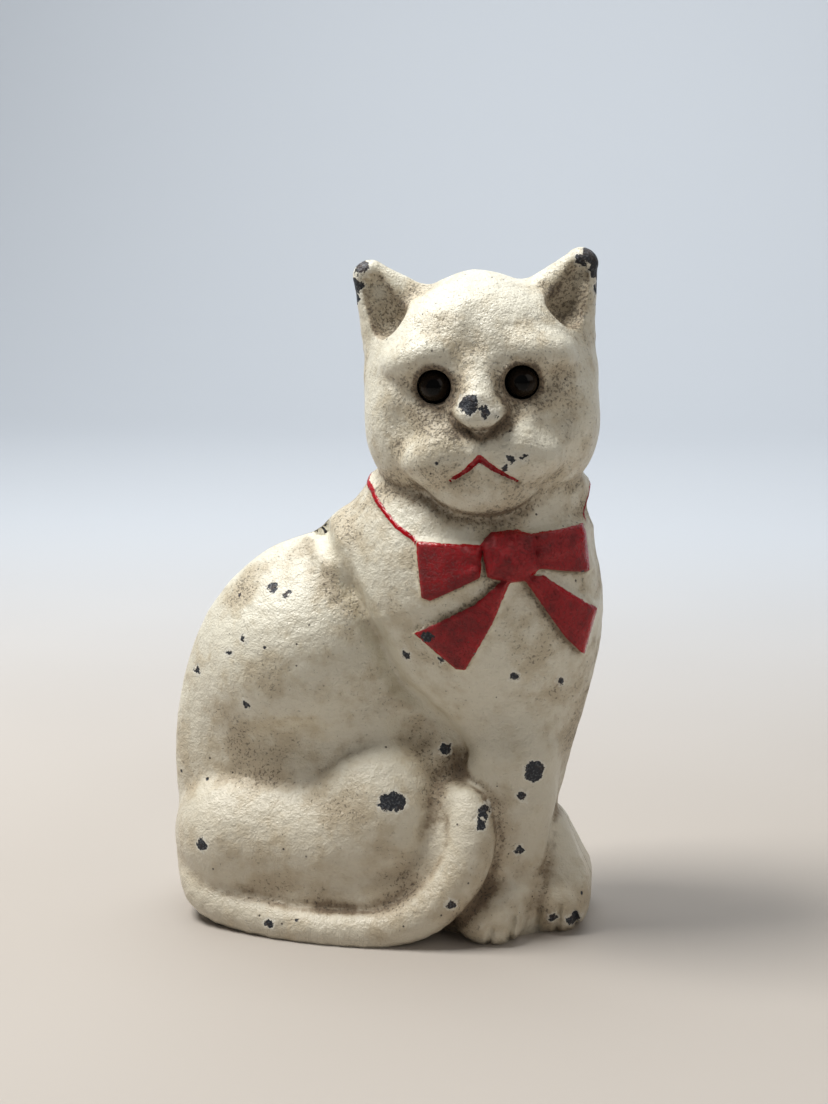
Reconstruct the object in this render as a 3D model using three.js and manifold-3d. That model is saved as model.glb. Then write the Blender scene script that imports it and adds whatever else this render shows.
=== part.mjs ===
// Seated cat still bank in cast iron: two hollow half castings closed by one slotted screw,
// with glass eyes bedded in sockets in the face.
// Millimetres. +Z is up, +X is the way the cat's body faces, -Y is the face side.
import * as THREE from 'three';
import { mergeVertices } from 'three/addons/utils/BufferGeometryUtils.js';
import Module from 'manifold-3d';

const wasm = await Module();
wasm.setup();

// ---------------------------------------------------------------- driving dimensions
const SHIFT_X = -1.1;         // the sculpted form moved so that its box is centred on the origin
const PARTING_Y = 2.1;        // where the plane between the two castings lies
const GAP = 0.3;              // clearance between neighbouring pieces
const WALL = 3.3;             // least thickness of the castings
const FLOOR = 3.6;            // thickness of the closed base
const STEP = 3.3;             // facet size on the sculpted forms
const INNER_STEP = 4.4;       // and on the cored hollow
const SOFT = 3.0;             // fillet along the tail and the paws
const LIMIT_LOW = [-46, -32, -8];
const LIMIT_HIGH = [50, 28, 133];

const HEAD_CENTRE = [19.5, -2.0, 102.0];
const HEAD_YAW = 3;           // the face turns a little more to the front than the chest
const HEAD_ROLL = 3.3;        // and leans a little

const EYE_X = 7.7;            // eye centre either side of the nose line
const EYE_Z = 1.4;
const EYE_RADIUS = 2.75;
const EYE_BACK = -13.1;       // head-frame depth of the back of the glass
const EYE_SIDE = 1.1;         // straight part of the glass
const EYE_DOME = 2.3;         // height of the domed front
const BED_THICK = 0.8;        // putty behind the glass
const SOCKET_RADIUS = EYE_RADIUS + GAP;
const SOCKET_BOTTOM = EYE_BACK + BED_THICK + 2 * GAP;

const SLOT_CENTRE = [16.5, 64.0];
const SLOT_LENGTH = 33.0;     // lets a 30.6 mm coin through
const SLOT_WIDTH = 4.6;       // wide enough for a worn coin to drop freely

const SCREW_AT = [-9.0, 46.0];
const SCREW_RADIUS = 2.35;
const SCREW_TIP = -10.8;
const SCREW_SEAT = 14.4;      // bottom of the recess the head lies in
const HEAD_RADIUS = 4.6;
const HEAD_THICK = 2.5;
const DRIVER_WIDTH = 1.1;
const DRIVER_DEPTH = 1.2;
const BOSS_RADIUS = 5.4;
const COLLAR_END = 6.0;

const LUG_WIDTH = 6.0;
const LUG_THICK = 3.2;
const LUG_REACH = 2.2;        // how far a lug stands past the parting plane

const BOW_RISE = 1.15;        // height of the bow above the chest

// ---------------------------------------------------------------- distance fields
const rad = THREE.MathUtils.degToRad;

function blend(a, b, k) {
  const h = Math.max(k - Math.abs(a - b), 0) / k;
  return Math.min(a, b) - h * h * h * k / 6;
}

function carve(a, b, k) {
  return -blend(-a, b, k);
}

function turned(p, centre, yaw = 0, roll = 0, pitch = 0) {
  let [x, y, z] = [p[0] - centre[0], p[1] - centre[1], p[2] - centre[2]];
  const [cy, sy] = [Math.cos(rad(yaw)), Math.sin(rad(yaw))];
  [x, y] = [x * cy + y * sy, y * cy - x * sy];
  const [cr, sr] = [Math.cos(rad(roll)), Math.sin(rad(roll))];
  [x, z] = [x * cr + z * sr, z * cr - x * sr];
  const [cp, sp] = [Math.cos(rad(pitch)), Math.sin(rad(pitch))];
  [y, z] = [y * cp + z * sp, z * cp - y * sp];
  return [x, y, z];
}

// An ellipsoid. A ridge runs straight back from its own widest section, so it draws from a mould.
function egg(p, centre, r, roll = 0, ridge = false) {
  let [x, y, z] = turned(p, centre, 0, roll);
  if (ridge) y = Math.min(y, 0);
  const near = Math.hypot(x / r[0], y / r[1], z / r[2]) + 1e-9;
  const slope = Math.hypot(x / r[0] ** 2, y / r[1] ** 2, z / r[2] ** 2) + 1e-9;
  return near * (near - 1) / slope;
}

// A tapered round bar between two balls.
function limb(p, a, ra, b, rb, flat = 1, ridge = false) {
  const d = [b[0] - a[0], b[1] - a[1], b[2] - a[2]];
  const q = [p[0] - a[0], p[1] - a[1], p[2] - a[2]];
  const along = (q[0] * d[0] + q[1] * d[1] + q[2] * d[2]) / (d[0] ** 2 + d[1] ** 2 + d[2] ** 2);
  const t = Math.min(Math.max(along, 0), 1);
  let y = (q[1] - t * d[1]) / flat;
  if (ridge) y = Math.min(y, 0);
  const reach = Math.hypot(q[0] - t * d[0], y, q[2] - t * d[2]);
  return (reach - (ra + (rb - ra) * t)) * Math.min(1, flat);
}

// Stations are [x, y, z, radius]; the curve through them is smoothed first.
function smoothed(stations, parts) {
  const ends = [stations[0], stations[1], stations.at(-2), stations.at(-1)];
  const before = ends[0].map((v, i) => 2 * v - ends[1][i]);
  const after = ends[3].map((v, i) => 2 * v - ends[2][i]);
  const s = [before, ...stations, after];
  const out = [];
  for (let i = 1; i < s.length - 2; i++) {
    for (let j = 0; j < parts; j++) {
      const t = j / parts;
      out.push(s[i].map((v, k) => {
        const [a, b, c] = [s[i - 1][k], s[i + 1][k], s[i + 2][k]];
        const bend = (2 * a - 5 * v + 4 * b - c) * t * t + (3 * v - a - 3 * b + c) * t ** 3;
        return 0.5 * (2 * v + (b - a) * t + bend);
      }));
    }
  }
  out.push(stations.at(-1));
  return out;
}

function chain(p, stations, k, flat = 1, ridge = false) {
  let d = Infinity;
  for (let i = 0; i + 1 < stations.length; i++) {
    const [a, b] = [stations[i], stations[i + 1]];
    const part = limb(p, a, a[3], b, b[3], flat, ridge);
    d = d === Infinity ? part : blend(d, part, k);
  }
  return d;
}

// ---------------------------------------------------------------- the cat
const CHEST = smoothed([
  [17.0, 0, 66.5, 25.3],
  [20.0, 0, 59, 21.8],
  [23.6, 0, 50, 16.8],
  [26.2, 0, 38, 11.4],
  [27.8, 0, 27, 7.0],
  [28.3, 0, 16, 4.4],
], 2);
const LEG = [
  [25.0, -4.0, 44, 9.5],
  [26.8, -6.0, 34, 8.2],
  [28.0, -7.0, 26, 6.2],
  [28.2, -7.6, 15, 4.9],
];
const TAIL = smoothed([
  [-33.6, 0, 16, 4.0],
  [-34.4, -5.5, 10.5, 4.1],
  [-32.0, -10.5, 5.8, 4.2],
  [-25.0, -14.0, 3.4, 4.0],
  [-12.0, -17.8, 2.4, 3.7],
  [0.0, -18.7, 2.4, 3.7],
  [8.2, -18.2, 4.4, 4.2],
  [14.0, -17.2, 8.4, 4.7],
  [17.8, -16.2, 13.5, 4.8],
  [19.6, -15.0, 18.6, 4.6],
  [19.6, -13.8, 22.4, 4.4],
  [19.0, -12.4, 24.8, 4.0],
], 3);

const WEB = [
  [-27, -8.0, 8.0, 6.6],
  [-12, -11.6, 6.5, 6.2],
  [2, -12.6, 7.5, 6.0],
  [11, -11.4, 11.5, 5.7],
  [15.5, -10.8, 17.5, 5.3],
  [16.0, -9.4, 24.0, 4.6],
];

function head(p) {
  const h = turned(p, HEAD_CENTRE, HEAD_YAW, HEAD_ROLL);
  const m = [Math.sqrt(h[0] ** 2 + 0.25), h[1], h[2]];
  let d = egg(h, [0, 1.0, 3.2], [21.4, 17.3, 16.6]);                       // skull
  d = blend(d, egg(h, [0, 0.5, 8.0], [11.5, 14.0, 13.0]), 3);              // crown
  d = blend(d, egg(h, [0, -1.0, -8.5], [20.1, 15.8, 15.6]), 6);            // jaw
  d = blend(d, egg(m, [10.4, -4.5, -5.5], [10.4, 11.5, 12.5]), 6);         // cheeks
  d = blend(d, egg(h, [0, -5.6, 9.5], [13, 9.0, 8]), 5);                   // forehead
  d = carve(d, egg(m, [10.2, -20.6, 0.6], [8.2, 6.4, 4.2], 4), 2.6);       // eye hollows
  d = blend(d, egg(m, [9.9, -9.9, 6.7], [8.0, 6.9, 4.3], -12), 3.4);       // brows
  d = blend(d, limb(h, [0, -13.2, 6.0], 2.4, [0, -17.8, -1.8], 3.6), 3.0); // bridge of the nose
  d = blend(d, egg(h, [0, -15.0, -5.4], [5.2, 6.8, 4.2]), 1.6);            // nose
  d = blend(d, egg(m, [6.4, -13.7, -10.0], [8.8, 6.7, 6.6], -4), 3);       // whisker pads
  d = blend(d, egg(h, [0, -13.9, -10.6], [6.0, 6.4, 5.6]), 2);
  d = blend(d, egg(h, [0, -13.0, -15.6], [9.5, 6.4, 6.6]), 4);             // chin
  let ear = limb(m, [15.2, 1.0, 10.5], 6.6, [19.5, -0.6, 21.0], 2.7);
  ear = blend(ear, limb(m, [9.0, 1.5, 13.4], 4.6, [18.8, -0.3, 21.0], 2.7), 2);
  d = blend(d, ear, 2.5);
  d = carve(d, limb(m, [15.9, -5.8, 13.2], 3.0, [18.3, -4.4, 19.0], 2.3), 1.5);
  d = carve(d, egg(m, [15.5, -20.5, -4.6], [5.6, 6.6, 5.0], 30), 4.0);     // under the cheekbone
  return d;
}

function body(p) {
  let d = egg(p, [-8.5, 0, 28.5], [31.7, 11.5, 45.3]);                     // back and belly
  d = blend(d, egg(p, [-13.5, 0, 50.5], [21.5, 16.3, 17.2], 42), 8);       // flank
  d = blend(d, egg(p, [-3.0, 0, 70.0], [8.5, 12, 9.5]), 5);                // shoulder blade
  d = carve(d, egg(p, [-17, -19.8, 33.5], [25, 8.4, 8.6], 5), 1.6);        // under the flank
  d = carve(d, egg(p, [9.5, -15.3, 37.0], [8.4, 8.4, 6.6], -40), 2.0);     // behind the foreleg
  return blend(d, egg(p, [-21.5, 0, 12], [17.8, 15, 14]), 5);              // rump
}

function haunch(q) {
  let d = limb(q, [-25.5, -3.5, 15.5], 13.8, [-8, -6.2, 16.0], 13.2, 1, true);
  d = blend(d, egg(q, [1.0, -7.0, 20.2], [13.4, 12.6, 15.9], 0, true), 5);
  return blend(d, egg(q, [-2, -5.5, 9.5], [13, 10.5, 10], 0, true), 5);
}

function paws(p, q) {
  let far = limb(q, [32.2, -1.6, 16.6], 5.0, [35.0, -4.4, 7.6], 6.3, 1, true);
  far = blend(far, egg(q, [34.8, -5.4, 5.0], [6.4, 7.2, 6.6], 0, true), 2);
  let near = limb(p, [27.0, -8.0, 9.5], 5.2, [23.4, -13.0, 4.6], 5.6, 1, true);
  near = blend(near, egg(p, [22.8, -13.3, 3.8], [6.4, 6.2, 5.2], 0, true), 2);
  return blend(far, Math.max(near, p[1]), 1.6);
}

function cat(p) {
  const q = [p[0], -Math.abs(p[1]), p[2]];                                 // both sides alike
  let d = blend(body(p), egg(q, [22, -3.5, 4], [15, 10.5, 12]), 4);         // web between haunch and legs
  d = blend(d, blend(chain(p, CHEST, 3, 0.8), chain(q, LEG, 3), 4), 3);
  d = blend(d, haunch(q), 2.6);
  d = blend(d, chain(q, WEB, 2, 1, true), 4);                              // between haunch and tail
  d = blend(d, egg(p, [19.6, 0, 83], [19.9, 14.5, 9]), 4);                 // neck
  d = blend(d, head(p), 1.8);
  d = blend(d, paws(p, q), SOFT);
  return blend(d, Math.max(chain(p, TAIL, 0.6, 1, true), p[1]), SOFT);
}

function hollow(p) {
  let d = egg(p, [-11, 0, 40], [24.5, 12.2, 30]);
  d = blend(d, egg(p, [-19, 0, 18], [16.5, 12.5, 14]), 6);
  d = blend(d, egg(p, [17.0, 0, 66], [21.4, 16.4, 20]), 4);
  d = blend(d, limb(p, [19, 0, 60], 15, [25.5, 0, 40], 7.0, 0.85), 4);
  d = blend(d, egg(p, [19.6, 0, 82], [15.0, 10.5, 12]), 4);
  d = blend(d, egg(p, [19.5, 1.2, 102], [16.5, 9.8, 15.5]), 4);
  d = carve(d, -(cat(p) + WALL), 0.5);
  return Math.max(d, FLOOR - p[2]);
}

// ---------------------------------------------------------------- from field to solid
function surface(field, low, high, step) {
  const n = low.map((v, i) => Math.ceil((high[i] - v) / step) + 1);
  const at = (i, j, k) => (k * n[1] + j) * n[0] + i;
  const value = new Float32Array(n[0] * n[1] * n[2]);
  const place = (i, j, k) => [low[0] + i * step, low[1] + j * step, low[2] + k * step];
  const everyCell = (size, act) => {
    for (let k = 0; k < size[2]; k++) {
      for (let j = 0; j < size[1]; j++) {
        for (let i = 0; i < size[0]; i++) act(i, j, k);
      }
    }
  };
  everyCell(n, (i, j, k) => {
    value[at(i, j, k)] = field(place(i, j, k));
  });

  const corners = [];
  for (let c = 0; c < 8; c++) corners.push([c & 1, (c >> 1) & 1, (c >> 2) & 1]);
  const edges = [];
  corners.forEach((a, i) => corners.forEach((b, j) => {
    const apart = Math.abs(a[0] - b[0]) + Math.abs(a[1] - b[1]) + Math.abs(a[2] - b[2]);
    if (i < j && apart === 1) edges.push([a, b]);
  }));

  const points = [];
  const pointOf = new Map();
  everyCell(n.map((v) => v - 1), (i, j, k) => {
    const sum = [0, 0, 0];
    let hits = 0;
    for (const [a, b] of edges) {
      const va = value[at(i + a[0], j + a[1], k + a[2])];
      const vb = value[at(i + b[0], j + b[1], k + b[2])];
      if ((va < 0) === (vb < 0)) continue;
      const t = va / (va - vb);
      for (let c = 0; c < 3; c++) sum[c] += a[c] + t * (b[c] - a[c]);
      hits++;
    }
    if (!hits) return;
    pointOf.set(at(i, j, k), points.length);
    points.push(place(i + sum[0] / hits, j + sum[1] / hits, k + sum[2] / hits));
  });

  // Each point is settled onto the true surface.
  const h = 0.05;
  for (const p of points) {
    for (let pass = 0; pass < 2; pass++) {
      const d = field(p);
      const g = [0, 1, 2].map((c) => {
        const s = [...p];
        s[c] += h;
        return (field(s) - d) / h;
      });
      const length2 = Math.max(g[0] ** 2 + g[1] ** 2 + g[2] ** 2, 0.3);
      for (let c = 0; c < 3; c++) {
        const move = THREE.MathUtils.clamp(g[c] * d / length2, -step / 3, step / 3);
        p[c] -= move;
      }
    }
  }

  const faces = [];
  const apart = (a, b) => Math.hypot(...points[a].map((v, i) => v - points[b][i]));
  everyCell(n, (i, j, k) => {
    for (let axis = 0; axis < 3; axis++) {
      const [u, v] = [(axis + 1) % 3, (axis + 2) % 3];
      const here = [i, j, k];
      if (here[axis] + 1 >= n[axis] || here[u] === 0 || here[v] === 0) continue;
      const next = [...here];
      next[axis]++;
      const inside = value[at(...here)] < 0;
      if (inside === value[at(...next)] < 0) continue;
      const ring = [[0, 0], [1, 0], [1, 1], [0, 1]].map(([du, dv]) => {
        const cell = [...here];
        cell[u] -= du;
        cell[v] -= dv;
        return pointOf.get(at(...cell));
      });
      if (!inside) ring.reverse();
      const [a, b, c, d] = ring;
      if (apart(a, c) < apart(b, d)) faces.push(a, b, c, a, c, d);
      else faces.push(b, c, d, b, d, a);
    }
  });
  const mesh = new wasm.Mesh({
    numProp: 3,
    vertProperties: new Float32Array(points.flat()),
    triVerts: new Uint32Array(faces),
  });
  return new wasm.Manifold(mesh);
}

function solid(geometry) {
  const plain = new THREE.BufferGeometry();
  plain.setAttribute('position', geometry.getAttribute('position'));
  plain.setIndex(geometry.index);
  const welded = mergeVertices(plain, 1e-4);
  const index = welded.index.array;
  const faces = [];
  for (let i = 0; i < index.length; i += 3) {
    const [a, b, c] = [index[i], index[i + 1], index[i + 2]];
    if (a !== b && b !== c && c !== a) faces.push(a, b, c);
  }
  const mesh = new wasm.Mesh({
    numProp: 3,
    vertProperties: new Float32Array(welded.getAttribute('position').array),
    triVerts: new Uint32Array(faces),
  });
  return new wasm.Manifold(mesh);
}

function block(low, high) {
  const size = high.map((v, i) => v - low[i]);
  const box = new THREE.BoxGeometry(...size);
  box.translate(...low.map((v, i) => v + size[i] / 2));
  return solid(box);
}

// A round bar along Y at (x, z).
function barAlongY(radius, from, to, x, z, sides = 32) {
  const bar = new THREE.CylinderGeometry(radius, radius, to - from, sides);
  bar.translate(0, (from + to) / 2, 0);
  bar.translate(x, 0, z);
  return solid(bar);
}

// A turned shape about Y; the profile is a list of [radius, y] running up the Y axis.
function turnedSolid(profile, sides = 32) {
  return new THREE.LatheGeometry(profile.map(([r, y]) => new THREE.Vector2(r, y)), sides);
}

function mesh(name, body3, colour, roughness, metalness) {
  const shape = body3.getMesh();
  const geometry = new THREE.BufferGeometry();
  geometry.setAttribute('position', new THREE.BufferAttribute(Float32Array.from(shape.vertProperties), 3));
  geometry.setIndex(new THREE.BufferAttribute(Uint32Array.from(shape.triVerts), 1));
  geometry.translate(SHIFT_X, PARTING_Y, 0);
  geometry.computeVertexNormals();
  const made = new THREE.Mesh(geometry, new THREE.MeshStandardMaterial({ color: colour, roughness, metalness }));
  made.name = name;
  return made;
}

// ---------------------------------------------------------------- castings
const half = GAP / 2;
const outer = surface((p) => Math.max(cat(p), -3 - p[2]), LIMIT_LOW, LIMIT_HIGH, STEP);
const inner = surface(hollow, LIMIT_LOW, LIMIT_HIGH, INNER_STEP);
const frontSpace = block([-60, -40, 0], [60, -half, 140]);
const backSpace = block([-60, half, 0], [60, 40, 140]);

// Bow: five flat pieces standing off the chest, outlines in x and z.
const BOW = {
  left_loop: [[9.5, 75.7], [21.4, 75.4], [21.2, 69.7], [12.2, 65.3], [10.7, 65.8]],
  right_loop: [[30.2, 77.1], [38.7, 77.8], [39.3, 76.3], [40.2, 69.3], [39.6, 69.1], [31.0, 71.0]],
  left_end: [[25.3, 69.4], [20.0, 64.7], [9.1, 58.8], [16.7, 52.4], [18.4, 52.3], [23.3, 61.2], [26.4, 69.0]],
  right_end: [[28.6, 69.4], [32.0, 69.7], [41.7, 62.1], [39.4, 53.7], [36.1, 57.8], [32.0, 64.2]],
};
const KNOT = [[21.1, 75.6], [22.9, 77.6], [26.9, 77.9], [30.8, 76.9], [31.6, 71.2], [29.7, 68.9],
  [26.3, 68.6], [22.4, 69.7]];

function relief(outline, rise) {
  const shape = new THREE.Shape(outline.map(([x, z]) => new THREE.Vector2(x, z)));
  const prism = new THREE.ExtrudeGeometry(shape, { depth: 30, bevelEnabled: false });
  prism.rotateX(Math.PI / 2);
  const bounds = new THREE.Box3().setFromPoints(outline.map(([x, z]) => new THREE.Vector3(x, 0, z)));
  const low = [bounds.min.x - 3, -28, bounds.min.z - 3];
  const high = [bounds.max.x + 3, -0.9, bounds.max.z + 3];
  const walls = (p) => Math.max(
    low[0] + 1 - p[0], p[0] - high[0] + 1,
    p[1] + 2.2,
    low[2] + 1 - p[2], p[2] - high[2] + 1,
  );
  const raised = surface((p) => Math.max(cat(p) - rise, walls(p)), low, high, STEP);
  return raised.intersect(solid(prism));
}

let front = outer.intersect(frontSpace);
for (const outline of Object.values(BOW)) {
  front = front.add(relief(outline, BOW_RISE));
}
front = front.add(relief(KNOT, 2 * BOW_RISE));
front = front.subtract(inner);

// Threaded boss inside the front half.
const [screwX, screwZ] = SCREW_AT;
const boss = barAlongY(BOSS_RADIUS, -12.4, -0.9, screwX, screwZ);
front = front.add(boss);
front = front.subtract(barAlongY(SCREW_RADIUS + GAP, SCREW_TIP - 2 * GAP, 4, screwX, screwZ));

// Locating lugs along the rim: each is rooted in the front wall and enters the back half.
const LUGS = [
  { from: [-14, 24], to: [-1, 0] },
  { from: [17, 60], to: [1, 0] },
  { from: [19.5, 100], to: [0, 1] },
];
for (const { from, to } of LUGS) {
  let reach = 40;
  for (const side of [-LUG_WIDTH / 2, 0, LUG_WIDTH / 2]) {
    for (const y of [0, LUG_REACH]) {
      let t = 0;
      const at = () => [from[0] + to[0] * t + to[1] * side, y, from[1] + to[1] * t + to[0] * side];
      while (hollow(at()) < -1.6 * GAP && t < reach) t += 0.05;
      reach = Math.min(reach, t);
    }
  }
  const across = (inward, outward, back, forward) => {
    const a = [from[0] + to[0] * inward, from[1] + to[1] * inward];
    const b = [from[0] + to[0] * outward, from[1] + to[1] * outward];
    const w = LUG_WIDTH / 2;
    const low = [Math.min(a[0], b[0]) - Math.abs(to[1]) * w, back, Math.min(a[1], b[1]) - Math.abs(to[0]) * w];
    const high = [Math.max(a[0], b[0]) + Math.abs(to[1]) * w, forward, Math.max(a[1], b[1]) + Math.abs(to[0]) * w];
    return block(low, high);
  };
  front = front.add(across(reach - LUG_THICK, reach, -5, LUG_REACH));
  front = front.add(across(reach - LUG_THICK, reach + 1.8, -5, -half).intersect(outer));
}

// Head frame, for everything set into the face.
const [cr, sr] = [Math.cos(rad(HEAD_ROLL)), Math.sin(rad(HEAD_ROLL))];
const [cw, sw] = [Math.cos(rad(HEAD_YAW)), Math.sin(rad(HEAD_YAW))];
const headFrame = new THREE.Matrix4().makeBasis(
  new THREE.Vector3(cr * cw, cr * sw, sr),
  new THREE.Vector3(-sw, cw, 0),
  new THREE.Vector3(-sr * cw, -sr * sw, cr),
).setPosition(...HEAD_CENTRE);

function inFace(profile, x) {
  const shape = turnedSolid(profile);
  shape.translate(x, 0, EYE_Z);
  shape.applyMatrix4(headFrame);
  return solid(shape);
}

const socket = [[0, -30], [SOCKET_RADIUS, -30], [SOCKET_RADIUS, SOCKET_BOTTOM], [0, SOCKET_BOTTOM]];
for (const x of [-EYE_X, EYE_X]) front = front.subtract(inFace(socket, x));

let back = outer.intersect(backSpace).subtract(inner);
back = back.add(barAlongY(BOSS_RADIUS, COLLAR_END, SCREW_SEAT + 0.5, screwX, screwZ));
back = back.subtract(barAlongY(SCREW_RADIUS + 2 * GAP, -4, 30, screwX, screwZ));
back = back.subtract(barAlongY(HEAD_RADIUS + 2 * GAP, SCREW_SEAT, 40, screwX, screwZ));
const [slotX, slotZ] = SLOT_CENTRE;
back = back.subtract(block(
  [slotX - SLOT_LENGTH / 2, 8, slotZ - SLOT_WIDTH / 2],
  [slotX + SLOT_LENGTH / 2, 40, slotZ + SLOT_WIDTH / 2],
));

// ---------------------------------------------------------------- screw
const under = SCREW_SEAT + GAP;
const screwProfile = [
  [0, SCREW_TIP],
  [SCREW_RADIUS - 0.8, SCREW_TIP],
  [SCREW_RADIUS, SCREW_TIP + 1.2],
  [SCREW_RADIUS, under],
  [HEAD_RADIUS, under],
  [HEAD_RADIUS, under + 0.6 * HEAD_THICK],
  [0.8 * HEAD_RADIUS, under + 0.85 * HEAD_THICK],
  [0.45 * HEAD_RADIUS, under + 0.97 * HEAD_THICK],
  [0, under + HEAD_THICK],
];
const screwForm = turnedSolid(screwProfile);
screwForm.translate(screwX, 0, screwZ);
const driverSlot = block(
  [screwX - 10, under + HEAD_THICK - DRIVER_DEPTH, screwZ - DRIVER_WIDTH / 2],
  [screwX + 10, under + HEAD_THICK + 5, screwZ + DRIVER_WIDTH / 2],
);
const screw = solid(screwForm).subtract(driverSlot);

// ---------------------------------------------------------------- eyes
const glass = [[0, EYE_BACK - EYE_SIDE - EYE_DOME]];
for (let i = 1; i <= 6; i++) {
  const a = i / 6 * Math.PI / 2;
  glass.push([EYE_RADIUS * Math.sin(a), EYE_BACK - EYE_SIDE - EYE_DOME * Math.cos(a)]);
}
glass.push([EYE_RADIUS, EYE_BACK - 0.3], [EYE_RADIUS - 0.3, EYE_BACK], [0, EYE_BACK]);
const bedFront = EYE_BACK + GAP;
const bed = [
  [0, bedFront],
  [EYE_RADIUS - 0.2, bedFront],
  [EYE_RADIUS, bedFront + BED_THICK / 2],
  [EYE_RADIUS - 0.2, bedFront + BED_THICK],
  [0, bedFront + BED_THICK],
];

const bank = new THREE.Group();
bank.name = 'cast_iron_still_bank';
bank.add(mesh('front_half', front, 0xe6e0cf, 0.42, 0.05));
bank.add(mesh('back_half', back, 0xe2dccb, 0.45, 0.05));
bank.add(mesh('assembly_screw', screw, 0x4a4a4c, 0.5, 0.85));
bank.add(mesh('eye_left', inFace(glass, -EYE_X), 0x1c120b, 0.06, 0));
bank.add(mesh('eye_right', inFace(glass, EYE_X), 0x1d130c, 0.06, 0));
bank.add(mesh('eye_bed_left', inFace(bed, -EYE_X), 0x8d8474, 0.9, 0));
bank.add(mesh('eye_bed_right', inFace(bed, EYE_X), 0x8c8373, 0.9, 0));

export default bank;
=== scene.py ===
# %% [markdown]
# # A seated cat still bank in painted cast iron
# The real bank is two hollow iron castings that meet on a flat parting plane, drawn together
# by one long slotted screw. Glass eyes sit in sockets in the face. The castings were dipped in
# cream enamel, the bow was brushed red, and long handling has chipped and grimed it.
#
# The measured frame comes first: every piece below is modelled in its coordinates.

# %% Load the measured frame
import math

import bmesh
import bpy
import numpy as np
import openvdb
from mathutils import Matrix, Vector


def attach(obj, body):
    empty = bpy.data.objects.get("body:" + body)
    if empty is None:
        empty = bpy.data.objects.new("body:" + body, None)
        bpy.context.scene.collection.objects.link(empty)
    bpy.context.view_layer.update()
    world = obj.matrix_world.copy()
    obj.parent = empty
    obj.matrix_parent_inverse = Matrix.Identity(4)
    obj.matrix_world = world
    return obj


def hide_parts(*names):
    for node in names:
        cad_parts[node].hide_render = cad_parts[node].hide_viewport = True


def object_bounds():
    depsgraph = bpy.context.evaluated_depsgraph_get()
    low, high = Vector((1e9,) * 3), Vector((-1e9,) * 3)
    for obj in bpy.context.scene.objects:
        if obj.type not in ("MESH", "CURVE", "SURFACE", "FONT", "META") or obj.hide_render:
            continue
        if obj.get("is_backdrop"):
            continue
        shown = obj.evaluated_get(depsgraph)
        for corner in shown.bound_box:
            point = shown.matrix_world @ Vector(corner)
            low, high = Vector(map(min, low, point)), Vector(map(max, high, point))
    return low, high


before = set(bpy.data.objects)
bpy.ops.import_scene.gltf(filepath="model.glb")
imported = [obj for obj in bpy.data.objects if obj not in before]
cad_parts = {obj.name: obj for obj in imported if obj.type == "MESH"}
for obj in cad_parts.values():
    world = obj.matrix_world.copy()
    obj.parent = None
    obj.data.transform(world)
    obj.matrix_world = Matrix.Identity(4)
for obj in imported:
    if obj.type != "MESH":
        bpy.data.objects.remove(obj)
cad_box = [list(corner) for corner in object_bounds()]
print("measured box, m:", cad_box)

# %% [markdown]
# ## Working units
# A cat is easier to model in millimetres, from a pattern-maker's origin on the parting plane.
# Two numbers carry that pattern frame back to the frame of the whole part.

# %% Pattern frame and sizes
MM = 0.001
SHIFT = np.array([-1.1, 2.1, 0.0])      # pattern origin in the part's frame, mm
GAP = 0.3                               # clearance between neighbouring pieces
WALL = 3.3                              # least thickness of the castings
FLOOR_THICK = 3.6                       # base of the castings
PATTERN_STEP = 0.5
CORE_STEP = 1.1
LOW, HIGH = (-46.0, -30.0, -4.0), (50.0, 26.0, 132.0)   # a box that holds the whole pattern
FAR = 9.0                               # says that a point is nowhere near a detail


def to_frame(points):
    """Pattern millimetres to metres in the part's frame."""
    return (np.asarray(points) + SHIFT) * MM


def to_pattern(points):
    """Metres in the part's frame to pattern millimetres, one row per axis."""
    return (np.asarray(points) / MM - SHIFT).T


print("pattern step:", PATTERN_STEP, "mm")

# %% [markdown]
# ## Modelling with distance fields
# The cat has no straight edge anywhere. It could be pushed about in sculpt mode, but a script
# needs something it can write down: here each muscle is a ball or a tapered bar that answers
# "how far is this point from my skin?". Smooth minimum melts two neighbours together the way
# a thumb presses clay, and smooth maximum scoops a hollow out.

# %% Clay: blend and scoop
def blend(a, b, k):
    h = np.maximum(k - np.abs(a - b), 0) / k
    return np.minimum(a, b) - h * h * h * k / 6


def scoop(a, b, k):
    return -blend(-a, b, k)


print("where two lumps meet, blending over 4 mm adds", round(-float(blend(0.0, 0.0, 4.0)), 2), "mm")

# %% [markdown]
# Two lumps are enough for a cat. An egg makes a skull, a cheek or a belly. A limb is a bar that
# tapers between two balls, and a chain of limbs follows a smooth curve. A ridge is a lump run
# straight back from its widest section, so that the pattern can be drawn out of the sand.

# %% Eggs, limbs and chains
def turned(p, centre, yaw=0.0, roll=0.0):
    x, y, z = p[0] - centre[0], p[1] - centre[1], p[2] - centre[2]
    if yaw:
        c, s = math.cos(math.radians(yaw)), math.sin(math.radians(yaw))
        x, y = x * c + y * s, y * c - x * s
    if roll:
        c, s = math.cos(math.radians(roll)), math.sin(math.radians(roll))
        x, z = x * c + z * s, z * c - x * s
    return x, y, z


def egg(p, centre, r, roll=0.0, ridge=False):
    """An ellipsoid; a ridge runs straight back from its widest section, so it leaves a mould."""
    x, y, z = turned(p, centre, 0.0, roll)
    if ridge:
        y = np.minimum(y, 0)
    near = np.sqrt((x / r[0])**2 + (y / r[1])**2 + (z / r[2])**2) + 1e-9
    slope = np.sqrt((x / r[0]**2)**2 + (y / r[1]**2)**2 + (z / r[2]**2)**2) + 1e-9
    return near * (near - 1) / slope


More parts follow.
